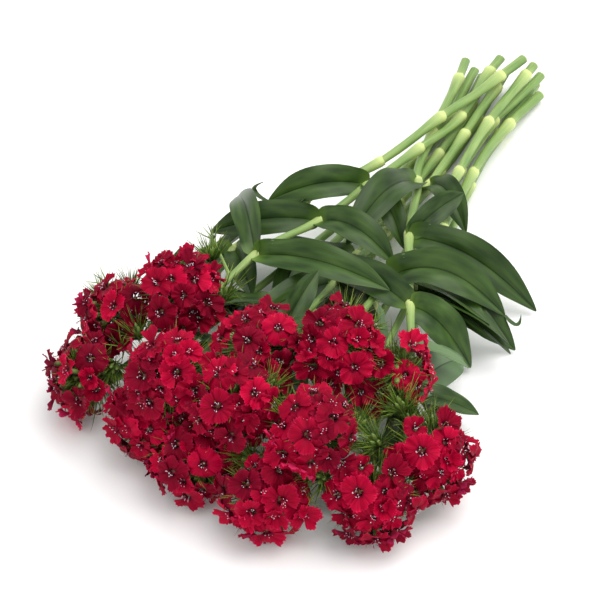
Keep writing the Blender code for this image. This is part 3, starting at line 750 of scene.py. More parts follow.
def place_shoot(bunch, shoot, path):
    """A side shoot: a thin twig, a small cup of buds and a tuft of bracts."""
    owner = "stem_" + shoot.stem
    start, _ = at_length(path, shoot.along)
    tip = np.array(shoot.tip, float)
    ahead = unit(tip - start)
    twig = tube([start, tip], (1.4, 1.2), 3)
    bud = tube([tip - 4 * ahead, tip + ahead, tip + 6 * ahead], (1.4, 3.6, 1.8), 5)
    if not (bunch.clear(owner, twig) and bunch.clear(owner, bud)):
        return
    bunch.add(owner, twig)
    bunch.add(owner, bud)
    bunch.note("twig", shoot.stem, start, tip)
    side, up = across(ahead)
    draw = random_for("shoot", shoot.stem, shoot.along)
    for k in range(7):
        out = swung(math.radians(k * GOLDEN_TURN), side, up)
        lean = math.radians(draw.uniform(8, 62))
        end = tip + draw.uniform(13, 18) * swung(lean, ahead, out)
        if end[2] > LOWEST_TIP and bunch.clear(owner, needle(tip, end, SHOOT_BRACT_RADIUS + CLEARANCE)):
            bunch.add(owner, needle(tip, end, SHOOT_BRACT_RADIUS))
            bunch.note("bract", shoot.stem, tip, end)


LEAF_TRIES = sorted(
    ((swing, rise, arch) for swing in range(-36, 37, 9) for rise in range(-16, 33, 8) for arch in (0, 6, 14)),
    key=lambda t: abs(t[0]) / 9 + abs(t[1]) / 8 + t[2] / 7,
)


def place_leaf(bunch, stem_name, node, tip, lift, width, roll):
    """Lays one leaf, swinging or raising its tip until it is clear of everything else."""
    owner = "stem_" + stem_name
    for shrink in (1.0, 0.82):
        for swing, rise, arch in LEAF_TRIES:
            reach = turned(tip - node, UP, swing) * shrink
            end = node + reach + rise * UP
            end[2] = max(end[2], 1.0)
            end[0] = min(max(end[0], LEAF_SPREAD[0]), LEAF_SPREAD[1])
            if bunch.clear(owner, blade(node, end, lift + arch, width * shrink, roll, CLEARANCE)):
                bunch.add(owner, blade(node, end, lift + arch, width * shrink, roll))
                bunch.note("leaf", stem_name, node, end, lift + arch, width * shrink, roll)
                return True
    return False


def leaf_pairs(bunch, stem, path):
    """The leaves that no shown leaf stands for, two at each leafy node, opposite each other."""
    draw = random_for("leaves", stem.name)
    shown = [leaf.node for leaf in SHOWN_LEAVES if leaf.stem == stem.name]
    for index, along in enumerate(node_lengths(stem, path)[:stem.leafy_nodes]):
        node, ahead = at_length(path, along - LEAF_FOOT)
        side, _ = across(ahead)
        for hand in (1, -1)[shown.count(index):]:
            opening = math.radians(draw.uniform(38, 62))
            growth = TOP_LEAF if index == 0 else draw.uniform(0.85, 1.05)
            length = LEAF_LENGTH * growth
            reach = length * unit(swung(opening, ahead, hand * side))
            tip = node + reach + (draw.uniform(-6, 6) - 0.12 * node[2]) * UP
            tip[2] = max(tip[2], 2.0)
            place_leaf(bunch, stem.name, node, tip, draw.uniform(12, 22), LEAF_WIDTH * growth, 20 * hand)


def lay_leaves(bunch, path_of, leaves):
    """The leaves of a table, each from its own node."""
    for leaf in leaves:
        stem = next(stem for stem in STEMS if stem.name == leaf.stem)
        along = node_lengths(stem, path_of[leaf.stem])[leaf.node]
        node, _ = at_length(path_of[leaf.stem], along - LEAF_FOOT)
        place_leaf(bunch, leaf.stem, node, np.array(leaf.tip, float), leaf.lift, leaf.width, leaf.roll)


def lay_out():
    """Places every piece of the bunch. Returns what has been placed, and each stem's line."""
    bunch = Bunch()
    paths = settle(STEMS, [stem_path(stem) for stem in STEMS])
    path_of = {stem.name: path for stem, path in zip(STEMS, paths)}
    for stem in STEMS:
        place_stem(bunch, stem, path_of[stem.name])
        bunch.add("stem_" + stem.name, cup(stem.head))
        bunch.add("flowers_" + stem.name, core(stem.head))
    for shoot in SHOOTS:
        place_shoot(bunch, shoot, path_of[shoot.stem])
    for stem in STEMS:
        place_flowers(bunch, stem)
    lay_leaves(bunch, path_of, SHOWN_LEAVES)
    for stem in STEMS:
        place_bracts(bunch, stem)
    for stem in STEMS:
        leaf_pairs(bunch, stem, path_of[stem.name])
    lay_leaves(bunch, path_of, LOW_LEAVES)
    return bunch, path_of


# Meshes for the looks


def added(name, data):
    """An object of the data, put in the scene."""
    made = bpy.data.objects.new(name, data)
    bpy.context.scene.collection.objects.link(made)
    return made


class Work:
    """Corners, faces, material places and painting coordinates gathered for one mesh."""

    def __init__(self):
        self.corners, self.places, self.tones, self.faces, self.slots = [], [], [], [], []
        self.count = 0

    def add(self, corners, faces, slots, places, tones):
        """Faces are rows of corner numbers; slots, places and tones may be one for all."""
        corners = np.asarray(corners, float).reshape(-1, 3)
        self.corners.append(corners)
        self.places.append(np.broadcast_to(places, corners.shape))
        self.tones.append(np.broadcast_to(tones, corners.shape))
        for group in faces:
            self.faces += (np.asarray(group) + self.count).tolist()
        self.slots += np.broadcast_to(slots, sum(len(group) for group in faces)).tolist()
        self.count += len(corners)

    def piece(self, name, materials, slot, replaced=None, sharp=None):
        """The mesh as one object that rides on the frame."""
        corners = np.vstack(self.corners) + SHIFT
        corners[:, 2] = np.maximum(corners[:, 2], SURFACE_GAP)
        mesh = bpy.data.meshes.new(name)
        mesh.from_pydata((corners * MM).tolist(), [], self.faces)
        mesh.polygons.foreach_set("material_index", self.slots)
        mesh.shade_smooth()
        if sharp:
            mesh.set_sharp_from_angle(angle=math.radians(sharp))
        for key, values in (("place", self.places), ("tone", self.tones)):
            attribute = mesh.attributes.new(key, "FLOAT_VECTOR", "POINT")
            attribute.data.foreach_set("vector", np.vstack(values).astype(np.float32).ravel())
        for material in materials:
            mesh.materials.append(material)
        made = added(name, mesh)
        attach(made, "root")
        if replaced:
            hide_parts(replaced)


def painted(across_it, along_it, seed):
    """Painting coordinates for a grid of corners."""
    return np.stack(np.broadcast_arrays(across_it, along_it, seed), -1)


def circle(turns, side, up):
    """A direction for each of the turns, round the line that side and up are square to."""
    return np.cos(turns)[:, None] * up + np.sin(turns)[:, None] * side


def inside_out(corners, walls):
    """True if four-cornered faces are wound so that they face into the form."""
    a, b, c, d = (corners[walls[:, k]] - corners.mean(0) for k in range(4))
    return np.einsum("ij,ij->", a, np.cross(b, c) + np.cross(c, d)) < 0


def sheet(work, top, bottom, slots, places, tones):
    """A closed thin sheet between two grids of corners: slots are for its upper side, underside and rim."""
    rows, columns = top.shape[:2]
    count = rows * columns
    index = np.arange(count).reshape(rows, columns)
    upper = np.stack((index[:-1, :-1], index[1:, :-1], index[1:, 1:], index[:-1, 1:]), -1).reshape(-1, 4)
    lower = upper[:, ::-1] + count
    border = np.concatenate((index[0, :], index[1:, -1], index[-1, -2::-1], index[-2:0:-1, 0]))
    ahead = np.roll(border, -1)
    rim = np.stack((border, ahead, ahead + count, border + count), -1)
    faces = [upper, lower, rim]
    corners = np.concatenate((top.reshape(-1, 3), bottom.reshape(-1, 3)))
    if inside_out(corners, np.concatenate(faces)):
        faces = [group[:, ::-1] for group in faces]
    kinds = np.repeat(slots, (len(upper), len(lower), len(rim)))
    work.add(corners, faces, kinds, np.tile(places.reshape(-1, 3), (2, 1)), tones)


def hose(work, rings_of_corners, slot, places, tones):
    """A closed tube through rings of corners, with a cap at each end."""
    count, sides = rings_of_corners.shape[:2]
    index = np.arange(count * sides).reshape(count, sides)
    ahead = np.roll(index, -1, axis=1)
    walls = np.stack((index[:-1], ahead[:-1], ahead[1:], index[1:]), -1).reshape(-1, 4)
    caps = np.array([index[0, ::-1], index[-1]])
    corners = rings_of_corners.reshape(-1, 3)
    if inside_out(corners, walls):
        walls, caps = walls[:, ::-1], caps[:, ::-1]
    work.add(corners, [walls, caps], slot, places.reshape(-1, 3), tones)


def pipe(work, line, radii, sides, slot, seed, tint=0.0):
    """A plain round tube along a line, painted from its start to its end."""
    line = np.asarray(line, float)
    turns = np.linspace(0, 2 * math.pi, sides, endpoint=False)
    rings_of_corners = []
    for point, tangent, radius in zip(line, np.gradient(line, axis=0), radii):
        rings_of_corners.append(point + radius * circle(turns, *across(unit(tangent))))
    places = painted(turns / (2 * math.pi), np.linspace(0, 1, len(line))[:, None], seed)
    hose(work, np.array(rings_of_corners), slot, places, (tint, 0, 0))


def curve(root, middle, tip, count):
    return arch(root, middle, tip, np.linspace(0, 1, count)[:, None])


def bristle(work, root, tip, bow, seed, draw, radius=BRISTLE_RADIUS):
    """A thin curved awl. Its middle stands off the straight line by the bow."""
    line = curve(root, 0.5 * (root + tip) + bow, tip, 5)
    ring = circle(THIRDS, *across(unit(tip - root)))
    sizes = radius * np.array((1.0, 1.0, 0.78, 0.42))
    corners = np.concatenate([point + size * ring for point, size in zip(line[:4], sizes)] + [line[4:]])
    corner = np.arange(9).reshape(3, 3)
    beside = np.roll(corner, -1, axis=1)
    walls = np.stack((corner, beside, beside + 3, corner + 3), -1).reshape(-1, 4)
    ends = np.array(((2, 1, 0), (9, 10, 12), (10, 11, 12), (11, 9, 12)))
    if inside_out(corners, walls):
        walls, ends = walls[:, ::-1], ends[:, ::-1]
    places = painted(0.0, np.append(np.repeat((0.0, 0.25, 0.5, 0.75), 3), 1.0), seed)
    work.add(corners, [walls, ends], 0, places, (draw.uniform(-1, 1), 0, 0))


# Stems


def stalk_stations(stem, path):
    """Places along a stem: arc length, thickness, paleness and raggedness, in the order of its surface."""
    total = arc_lengths(path)[-1]
    stations, along = [], 0.0
    for node in [*node_lengths(stem, path), total + 100]:
        limit = min(node + NODE_PROFILE[0][0], total - CUT_LENGTH)
        stations += [(at, 1.0, 0.0, 0.0) for at in np.arange(along, limit, STALK_STEP)]
        swollen = [(node + offset, *rest) for offset, *rest in NODE_PROFILE]
        stations += [station for station in swollen if 0 < station[0] < total - CUT_LENGTH]
        along = node + NODE_PROFILE[-1][0] + STALK_STEP
    return stations, total


def stalk(work, stem, path, seed):
    """A stem whose nodes are sockets, out of which the next length grows thinner."""
    stations, total = stalk_stations(stem, path)
    draw = random_for("stalk", stem.name)
    turns = np.linspace(0, 2 * math.pi, STALK_SIDES, endpoint=False)
    slant = draw.uniform(0.2, 0.5)
    rings_of_corners, places, tones = [], [], []
    stations = [(*station, 0.0, 0.0) for station in stations]
    stations += [(total, size, 0.0, 0.0, cut, sunk) for size, cut, sunk in CUT_PROFILE]
    for along, size, pale, ragged, cut, sunk in stations:
        point, ahead = at_length(path, along)
        radius = np.interp(along, arc_lengths(path), stem_radii(path)) * ROUND_STEM * size
        back = sunk - ragged * draw.uniform(0, 1, STALK_SIDES) + cut * slant * radius * np.cos(turns)
        rings_of_corners.append(point + radius * circle(turns, *across(ahead)) + back[:, None] * ahead)
        places.append(painted(turns / (2 * math.pi), along, seed))
        tones.append(np.tile((pale, cut, 0.0), (STALK_SIDES, 1)))
    hose(work, np.array(rings_of_corners), 0, np.array(places), np.vstack(tones))


# Leaves


def leaf(work, base, tip, lift, width, roll, draw, seed, pale):
    """A leaf with a sunken midrib, two convex halves, a channelled foot and a slightly waved margin."""
    line = leaf_line(base, tip, lift)
    x = np.linspace(-1, 1, LEAF_COLUMNS)
    waves, phases = draw.uniform(1.2, 2.6, 2), draw.uniform(0, 2 * math.pi, 2)
    twist, sway, droop = draw.uniform(-9, 9), draw.uniform(-0.05, 0.05), draw.uniform(0.0, 0.08)
    top, bottom = [], []
    for at in LEAF_STATIONS:
        ahead = unit(line(min(at + 0.02, 1.0)) - line(max(at - 0.02, 0.0)))
        side, up = across(ahead)
        turn = roll + twist * (at - 0.35)
        side, up = turned(side, ahead, turn), turned(up, ahead, turn)
        wide = width * leaf_width(at) * (1 - TIP_TAPER * max(0.0, at / TIP_SHARE - TIP_START) ** 2)
        foot = max(0.0, 1 - at / LEAF_CHANNEL)
        crown = LEAF_FOLD * wide * (0.85 * np.abs(x) + 0.13 * np.sin(math.pi * np.abs(x)))
        margin = np.where(x > 0, *np.sin(2 * math.pi * waves * at + phases))
        height = crown + foot * 0.35 * wide * x ** 2 + 0.045 * wide * margin * np.abs(x) ** 3
        height -= 0.03 * wide * np.exp(-(x / 0.1) ** 2)
        middle = line(at) + sway * width * math.sin(math.pi * at) * side - droop * width * at ** 3 * up
        row = middle + 0.5 * wide * x[:, None] * side + height[:, None] * up
        thickness = LEAF_SHEET + RIB * np.exp(-(x / 0.11) ** 2) * min(1.0, wide / width)
        under = row - thickness[:, None] * up
        lowest = min(row[:, 2].min(), under[:, 2].min())
        rise = max(0.0, SURFACE_GAP - lowest) * UP
        top.append(row + rise)
        bottom.append(under + rise)
    places = painted(x, LEAF_STATIONS[:, None], seed)
    # The tone's second value, pale, is the share of painted sheen mixed over the leaf's colour.
    sheet(work, np.array(top), np.array(bottom), (0, 1, 0), places, (draw.uniform(-1, 1), pale, 0))


def slip(work, place, seed):
    """A narrow curled slip of leaf that tapers to its tip."""
    line = curve(*(np.array(at, float) for at in (place.root, place.middle, place.tip)), SLIP_ROWS)
    x = np.linspace(-1, 1, SLIP_COLUMNS)
    rows, under = [], []
    for t, point, ahead in zip(np.linspace(0, 0.97, SLIP_ROWS), line, np.gradient(line, axis=0)):
        side, up = across(unit(ahead))
        wide = place.width * (0.55 + 0.45 * math.sin(math.pi * t)) * (1 - t ** 3)
        row = point + 0.5 * wide * x[:, None] * side + 0.12 * wide * x[:, None] ** 2 * up
        rows.append(row)
        under.append(row - LEAF_SHEET * up)
    places = painted(x, np.linspace(0.4, 1, SLIP_ROWS)[:, None], seed)
    sheet(work, np.array(rows), np.array(under), (0, 1, 0), places, (SLIP_TINT, 0, 0))


# Flowers


def petal(work, origin, axes, turn, radius, opening, draw, seed, tint):
    """One broad petal: a narrow claw, a fan-shaped limb, rounded shoulders and a toothed outer margin."""
    u = np.linspace(-1, 1, PETAL_COLUMNS)[None]
    v = np.array(PETAL_ROWS)[:, None]
    half = np.radians(np.interp(v, *zip(*PETAL_SPREAD))) * draw.uniform(0.94, 1.02)
    reach = PETAL_CLAW + (1 - PETAL_CLAW) * v
    reach = reach * (1 - 0.15 * np.abs(u) ** 3.4 * v ** 2)
    teeth = np.where(np.arange(PETAL_COLUMNS) % 2, draw.uniform(0.05, 0.13, PETAL_COLUMNS), 0.0)[None]
    length = radius * draw.uniform(0.9, 1.05)
    out = length * (reach - teeth * v ** 12)
    tilt = opening + draw.normal(0.0, 0.19)
    bend, hollow = draw.uniform(0.0, 0.3), draw.uniform(-0.14, 0.14)
    wave, phase = draw.uniform(4.0, 8.5), draw.uniform(0, 2 * math.pi)
    rise = tilt * v - bend * v ** 2.4 + hollow * u ** 2 * v - 0.17 * (1 - v) ** 8
    rise = rise + 0.1 * v ** 2 * np.sin(wave * u + phase) + 0.07 * u * v
    rise = rise - 0.022 * np.exp(-(u / 0.17) ** 2) * np.sin(math.pi * v)
    lean = 1 - 0.5 * max(0.0, opening)
    angle = half * u + math.radians(turn)
    local = np.stack((lean * out * np.cos(angle), lean * out * np.sin(angle), length * rise), -1)
    top = origin + local @ axes
    bottom = origin + (local - (0, 0, PETAL_SHEET)) @ axes
    sheet(work, top, bottom, (0, 1, 0), painted(u, v, seed), (tint, draw.uniform(-1, 1), 0))


def stamens(work, origin, axes, radius, draw, seed):
    """Pale anthers, each on a thin filament from the flower's throat."""
    face = axes[2]
    for _ in range(draw.integers(4, 9)):
        turn = draw.uniform(0, 2 * math.pi)
        reach = draw.uniform(0.6, 3.4) * radius / FLOWER_RADIUS
        foot = origin + (0.3 * math.cos(turn), 0.3 * math.sin(turn), -1.6) @ axes
        top = origin + (reach * math.cos(turn), reach * math.sin(turn), draw.uniform(1.0, 2.6)) @ axes
        pipe(work, curve(foot, 0.5 * (foot + top) + 0.5 * face, top, 3), FILAMENT_RADII, 3, 1, seed)
        lying = unit(draw.normal(0, 1, 3) + 0.3 * face)
        long, wide = draw.uniform(0.3, 0.52), draw.uniform(0.17, 0.27)
        ends = [top + step * long * lying for step in (-1, -0.4, 0.4, 1)]
        pipe(work, ends, (0.5 * wide, wide, wide, 0.5 * wide), 4, 0, seed, draw.uniform(-1, 1))


def calyx(work, mouth, axes, head, draw, seed):
    """The green tube under a flower, its stalk from the head's base and two bracts beside it."""
    side, up, face = axes
    base = head_base(head)
    bottom = mouth - CALYX_LENGTH * head.size * unit(0.75 * face + 0.25 * unit(mouth - base))
    line = [mouth, 0.85 * mouth + 0.15 * bottom, 0.5 * (mouth + bottom), 0.15 * mouth + 0.85 * bottom, bottom]
    pipe(work, line, CALYX_RADII, 7, 1, seed, draw.uniform(-1, 1))
    foot = base + 2 * facing(head)
    pipe(work, curve(bottom, 0.5 * (bottom + foot) - 3 * face, foot, 5), PEDICEL_RADII, 5, 2, seed)
    for k in range(2):
        out = swung(draw.uniform(0, 2 * math.pi), side, up)
        root = 0.2 * mouth + 0.8 * bottom + 1.2 * out
        tip = mouth + draw.uniform(2.0, 5.0) * out + draw.uniform(-4, 1.0) * face
        bristle(work, root, tip, 1.5 * out, seed + k, draw)


def bloom(petals, anthers, greens, spot, head, draw, seed):
    """One flower, which faces a little more the way that its head does than its spot on the dome."""
    centre, face, spin, radius, opening = spot
    normal = facing(head)
    face = unit(face + RIM_LIFT * (1 - face @ normal) * normal + draw.normal(0, FACE_SWAY, 3))
    axes = np.array((*across(face), face))
    origin = centre + 0.3 * face
    tint = draw.uniform(-1, 1)
    for k in range(5):
        turn = spin + 72 * k + draw.uniform(-3, 3)
        petal(petals, origin, axes, turn, radius, opening, draw, seed + 0.17 * k, tint)
    stamens(anthers, origin, axes, radius, draw, seed)
    calyx(greens, origin - 2.6 * face, axes, head, draw, seed)


def gap_spots(head, name, flowers, count, edge):
    """Directions on a head's dome, out to an edge in degrees, that no flower covers."""
    normal, side, up = head_axes(head)
    draw = random_for("gaps", name)
    found = []
    for _ in range(count * 12):
        polar = math.acos(1 - draw.uniform(0, 1) * (1 - math.cos(math.radians(edge))))
        direction = swung(polar, normal, swung(draw.uniform(0, 2 * math.pi), side, up))
        at = dome_point(head, direction, 0.0)
        covered = False
        for centre, face, _, radius, _ in flowers:
            off = at - centre
            covered = covered or np.linalg.norm(off - (off @ face) * face) < GAP_SHARE * radius
        if not covered:
            found.append(direction)
        if len(found) == count:
            break
    return found


def dome_point(head, direction, pull):
    """A point on the dome that the flowers of a head stand on."""
    normal = facing(head)
    reach = (DOME_RADIUS - pull) * head.size * direction
    focus = np.array(head.centre, float) + FOCUS_HEIGHT * head.size * normal
    return focus + reach - (1 - DOME_DEPTH / DOME_RADIUS) * (reach @ normal) * normal


def filler_spots(bunch, stem, flowers):
    """Smaller and half-open flowers, a little deeper, where the full ones leave room."""
    head = stem.head
    draw = random_for("fillers", stem.name)
    spots = []
    for direction in gap_spots(head, "fill" + stem.name, flowers, FILLER_TRIES, FILLER_EDGE):
        pull, radius = draw.uniform(0.5, 5.0), draw.uniform(9.0, 12.0) * head.size ** 0.5
        centre = dome_point(head, direction, pull)
        near = min((np.linalg.norm(centre - spot[0]) for spot in flowers + spots), default=99)
        face = turned(direction, across(direction)[0], draw.uniform(-20, 20))
        shape = flower(centre, face, 0, 0.85 * radius, centre - 6 * face)
        fits = near >= FILLER_SPACING * head.size and shape[0][:, 2].min() >= 0
        if not fits or not flat_enough(centre, face, radius):
            continue
        if bunch.clear("flowers_" + stem.name, shape):
            bunch.add("flowers_" + stem.name, shape)
            spots.append((centre, face, draw.uniform(0, 72), radius, draw.choice(FILLER_OPENINGS)))
        if len(spots) == round(FILLERS * head.size ** 4):
            break
    return spots


def head_bristles(work, bunch, stem, flowers, seed):
    """Bristly bracts: some between the flowers, and a fringe that leans out under the lowest ones."""
    head = stem.head
    normal, side, up = head_axes(head)
    draw = random_for("bristles", stem.name)
    centre = np.array(head.centre, float)
    for direction in gap_spots(head, stem.name, flowers, GAP_BRISTLES, DOME_EDGE + 14):
        root = centre + (FOCUS_HEIGHT + 2) * normal + 9 * direction * head.size
        tip = dome_point(head, direction, draw.uniform(-4.5, 2.0)) + draw.normal(0, 2.2, 3)
        if tip[2] > LOWEST_TIP and bunch.clear(stem.name, needle(root, tip, BRISTLE_RADIUS)):
            bristle(work, root, tip, draw.normal(0, 1.6, 3), seed + draw.uniform(0, 1), draw)
    for k in range(RIM_BRISTLES):
        out = swung(math.radians(k * GOLDEN_TURN), side, up)
        lean = math.radians(draw.uniform(48, 118))
        root = centre + (draw.uniform(-9, 3) * normal + 6 * out) * head.size
        length = draw.uniform(18, 29) * head.size
        tip = root + length * swung(lean, normal, out)
        thin = needle(root, tip, BRISTLE_RADIUS)
        if tip[2] > LOWEST_TIP and root[2] > 1 and bunch.clear(stem.name, thin):
            bow = draw.uniform(0.5, 3.0) * unit(out - 0.6 * normal)
            bristle(work, root, tip, bow, seed + draw.uniform(0, 1), draw)


def buds(work, head, name, seed):
    """Unopened buds, low between the flowers."""
    draw = random_for("buds", name)
    for direction in gap_spots(head, "bud" + name, [], round(BUDS * head.size ** 4), DOME_EDGE + 10):
        top = dome_point(head, direction, draw.uniform(3.0, 8.5))
        foot = np.array(head.centre, float) + 9 * direction * head.size
        if min(top[2], foot[2]) > 2.5:
            line = curve(foot, 0.5 * (foot + top) + draw.normal(0, 1, 3), top, 7)
            pipe(work, line, BUD_RADII, 7, 1, seed, draw.uniform(-1, 1))


def tuft(work, bunch, place, seed):
    """A fan of bristles round a few buds."""
    centre, ahead = np.array(place.centre, float), unit(place.ahead)
    side, up = across(ahead)
    draw = random_for("tuft", place.stem, *place.centre)
    root = centre - TUFT_ROOT * ahead
    for k in range(TUFT_BRISTLES):
        out = swung(math.radians(k * GOLDEN_TURN + draw.uniform(-25, 25)), side, up)
        lean = math.radians(TUFT_SPREAD * draw.uniform(0.1, 1.15) ** 0.6)
        start = root + draw.uniform(0.5, 2.6) * out
        tip = root + draw.uniform(14, 25) * place.size * swung(lean, ahead, out)
        outer = needle(0.6 * start + 0.4 * tip, tip, BRISTLE_RADIUS)
        if tip[2] > LOWEST_TIP and bunch.clear(place.stem, outer):
            bow = draw.uniform(-1.0, 3.0) * unit(0.4 * ahead - out) + draw.normal(0, 0.6, 3)
            bristle(work, start, tip, bow, seed + draw.uniform(0, 1), draw)
    for k in range(3):
        out = swung(math.radians(120 * k + 40), side, up)
        foot, top = root + 1.2 * out, root + 2.6 * out + draw.uniform(8, 11) * place.size * ahead
        line = curve(foot, 0.5 * (foot + top), top, 5)
        pipe(work, line, TUFT_BUD_RADII, 7, 1, seed, draw.uniform(-1, 1))


# Materials


class Shader:
    """A material, with short ways to add nodes to it."""

    def __init__(self, name, **sockets):
        self.material = bpy.data.materials.new(name)
        self.material.use_nodes = True
        self.tree = self.material.node_tree
        self.surface = self.tree.nodes["Principled BSDF"]
        for key, value in sockets.items():
            self.surface.inputs[key.replace("_", " ")].default_value = value

    def node(self, kind, inputs, **settings):
        made = self.tree.nodes.new("ShaderNode" + kind)
        for key, value in settings.items():
            setattr(made, key, value)
        for key, value in inputs.items():
            if isinstance(value, bpy.types.NodeSocket):
                self.tree.links.new(value, made.inputs[key])
            else:
                made.inputs[key].default_value = value
        return made

    def attribute(self, name):
        read = self.node("Attribute", {}, attribute_name=name)
        return self.node("SeparateXYZ", {0: read.outputs["Vector"]}).outputs

    def maths(self, operation, a, b=0.0):
        return self.node("Math", {0: a, 1: b}, operation=operation).outputs[0]

    def about_half(self, tint, share):
        """Half, and a share of a tint that runs from -1 to 1."""
        return self.node("Math", {0: tint, 1: share, 2: 0.5}, operation="MULTIPLY_ADD").outputs[0]

    def grain(self, across_it, along_it, seed, scale, detail):
        """Noise over a piece. Across and along come as pairs of a coordinate and what it is multiplied by."""
        x, y = (self.maths("MULTIPLY", *pair) for pair in (across_it, along_it))
        place = self.node("CombineXYZ", {0: x, 1: y, 2: seed}).outputs[0]
        return self.node("TexNoise", {"Vector": place, "Scale": scale, "Detail": detail}).outputs["Fac"]

    def ramp(self, value, *stops):
        made = self.node("ValToRGB", {0: value})
        elements = made.color_ramp.elements
        while len(elements) < len(stops):
            elements.new(0.5)
        for element, (position, colour) in zip(elements, stops):
            element.position = position
            element.color = (*colour, 1.0)
        return made.outputs[0]

    def mix(self, factor, a, b, blend="MIX"):
        made = self.node("Mix", {0: factor, 6: a, 7: b}, data_type="RGBA", blend_type=blend)
        return made.outputs[2]

    def times(self, colour, shade, share=1.0):
        return self.mix(share, colour, shade, "MULTIPLY")

    def paint(self, colour):
        self.tree.links.new(colour, self.surface.inputs["Base Color"])

    def relief(self, height, strength, distance):
        bump = self.node("Bump", {"Height": height, "Strength": strength, "Distance": distance})
        self.tree.links.new(bump.outputs[0], self.surface.inputs["Normal"])


def grey(value):
    return (value, value, value)


def petal_material(name, ramp_stops, streak_depth):
    shader = Shader(name, Roughness=0.5, Specular_IOR_Level=0.05)
    u, v, seed = shader.attribute("place")
    tint = shader.attribute("tone")[0]
    streaks = shader.grain((u, 9.0), (v, 1.0), seed, 1.6, 3.0)
    shade = shader.ramp(streaks, (0.3, grey(1 - streak_depth)), (0.7, grey(1.06)))
    colour = shader.times(shader.ramp(v, *ramp_stops), shade)
    whole = shader.ramp(shader.about_half(tint, 0.38), *FLOWER_TINTS)
    shader.paint(shader.times(colour, whole))
    ridges = shader.grain((u, 7.0), (v, 1.0), seed, 1.5, 1.0)
    shader.relief(ridges, 0.35, 0.0006)
    return shader.material


def leaf_material(name, deep, pale, foot, roughness):
    shader = Shader(name, Roughness=roughness, Specular_IOR_Level=0.24)
    x, t, seed = shader.attribute("place")
    tint, sheen_share, _ = shader.attribute("tone")
    colour = shader.ramp(shader.grain((x, 1.5), (t, 3.0), seed, 1.3, 1.5), (0.25, deep), (0.8, pale))
    veins = shader.grain((x, 16.0), (t, 0.5), seed, 1.0, 1.0)
    colour = shader.times(colour, shader.ramp(veins, (0.35, grey(0.82)), (0.65, grey(1.1))), 0.35)
    # Painted sheen: a paler, bluer grey-green mixed over the leaf's colour by the tone's second value.
    colour = shader.mix(sheen_share, colour, SHEEN_GREEN)
    # Painted shade: a dark line along the sunken midrib groove.
    midrib_shade = shader.ramp(shader.maths("ABSOLUTE", x), (0.0, grey(0.42)), (0.025, grey(0.6)), (0.06, grey(1.0)))
    colour = shader.times(colour, midrib_shade)
    colour = shader.mix(shader.ramp(t, (0.01, grey(0.7)), (0.12, grey(0.0))), colour, (*foot, 1.0))
    whole = shader.ramp(shader.about_half(tint, 0.5), (0.0, grey(0.8)), (1.0, (1.12, 1.1, 1.0)))
    shader.paint(shader.times(colour, whole))
    shader.relief(veins, 0.25, 0.0004)
    return shader.material


def stem_material():
    shader = Shader("stem_green", Roughness=0.42, Specular_IOR_Level=0.45)
    around, along, seed = shader.attribute("place")
    pale, cut, _ = shader.attribute("tone")
    fibres = shader.grain((around, 22.0), (along, 0.02), seed, 1.0, 2.0)
    blotches = shader.grain((around, 2.0), (along, 0.03), seed, 1.0, 2.0)
    colour = shader.ramp(blotches, (0.3, (0.14, 0.26, 0.06)), (0.7, (0.27, 0.40, 0.115)))
    colour = shader.times(colour, shader.ramp(fibres, (0.3, grey(0.8)), (0.7, grey(1.15))), 0.6)
    colour = shader.mix(pale, colour, NODE_PALE)
    shader.paint(shader.mix(cut, colour, CUT_PALE))
    shader.relief(fibres, 0.4, 0.0005)
    return shader.material


def bristle_material():
    shader = Shader("bract_green", Roughness=0.45, Specular_IOR_Level=0.4)
    colour = shader.ramp(shader.attribute("place")[1], *BRISTLE_RAMP)
    tint = shader.attribute("tone")[0]
    shader.paint(shader.times(colour, shader.ramp(shader.about_half(tint, 0.5), *BRISTLE_TINTS)))
    return shader.material


def calyx_material():
    shader = Shader("calyx_green", Roughness=0.45, Specular_IOR_Level=0.4)
    around, v, seed = shader.attribute("place")
    ribs = shader.grain((around, 18.0), (v, 1.0), seed, 1.0, 1.0)
    colour = shader.ramp(v, (0.0, (0.16, 0.06, 0.03)), (0.25, (0.16, 0.24, 0.05)), (1.0, (0.22, 0.33, 0.08)))
    shader.paint(shader.times(colour, shader.ramp(ribs, (0.35, grey(0.7)), (0.65, grey(1.15))), 0.6))
    return shader.material


def anther_material():
    shader = Shader("anther_white", Roughness=0.6)
    tint = shader.attribute("tone")[0]
    colour = shader.ramp(shader.about_half(tint, 0.5), (0.0, (0.45, 0.38, 0.50)), (1.0, (0.95, 0.93, 0.95)))
    shader.paint(colour)
    return shader.material


def plain_material(name, colour, roughness):
    shader = Shader(name, Roughness=roughness)
    shader.surface.inputs["Base Color"].default_value = (*colour, 1.0)
    return shader.material


# The bunch, its light and the camera


def materials():
    """The materials of each kind of piece, in the order of its slots."""
    leaf_top = leaf_material("leaf_upper", *LEAF_COLOURS, 0.34)
    leaf_under = leaf_material("leaf_underside", *LEAF_UNDER_COLOURS, 0.5)
    pedicel = plain_material("flower_stalk", (0.16, 0.26, 0.06), 0.5)
    upper = petal_material("petal_crimson", PETAL_RAMP, 0.48)
    under = petal_material("petal_underside", UNDERSIDE_RAMP, 0.15)
    return {
        "stalk": [stem_material()],
        "leaves": [leaf_top, leaf_under],
        "petals": [upper, under],
        "bracts": [bristle_material(), calyx_material(), pedicel],
        "anthers": [anther_material(), plain_material("filament_red", (0.25, 0.01, 0.04), 0.5)],
    }


def of_stem(rows, stem):
    return [row for row in rows if row.stem == stem.name]


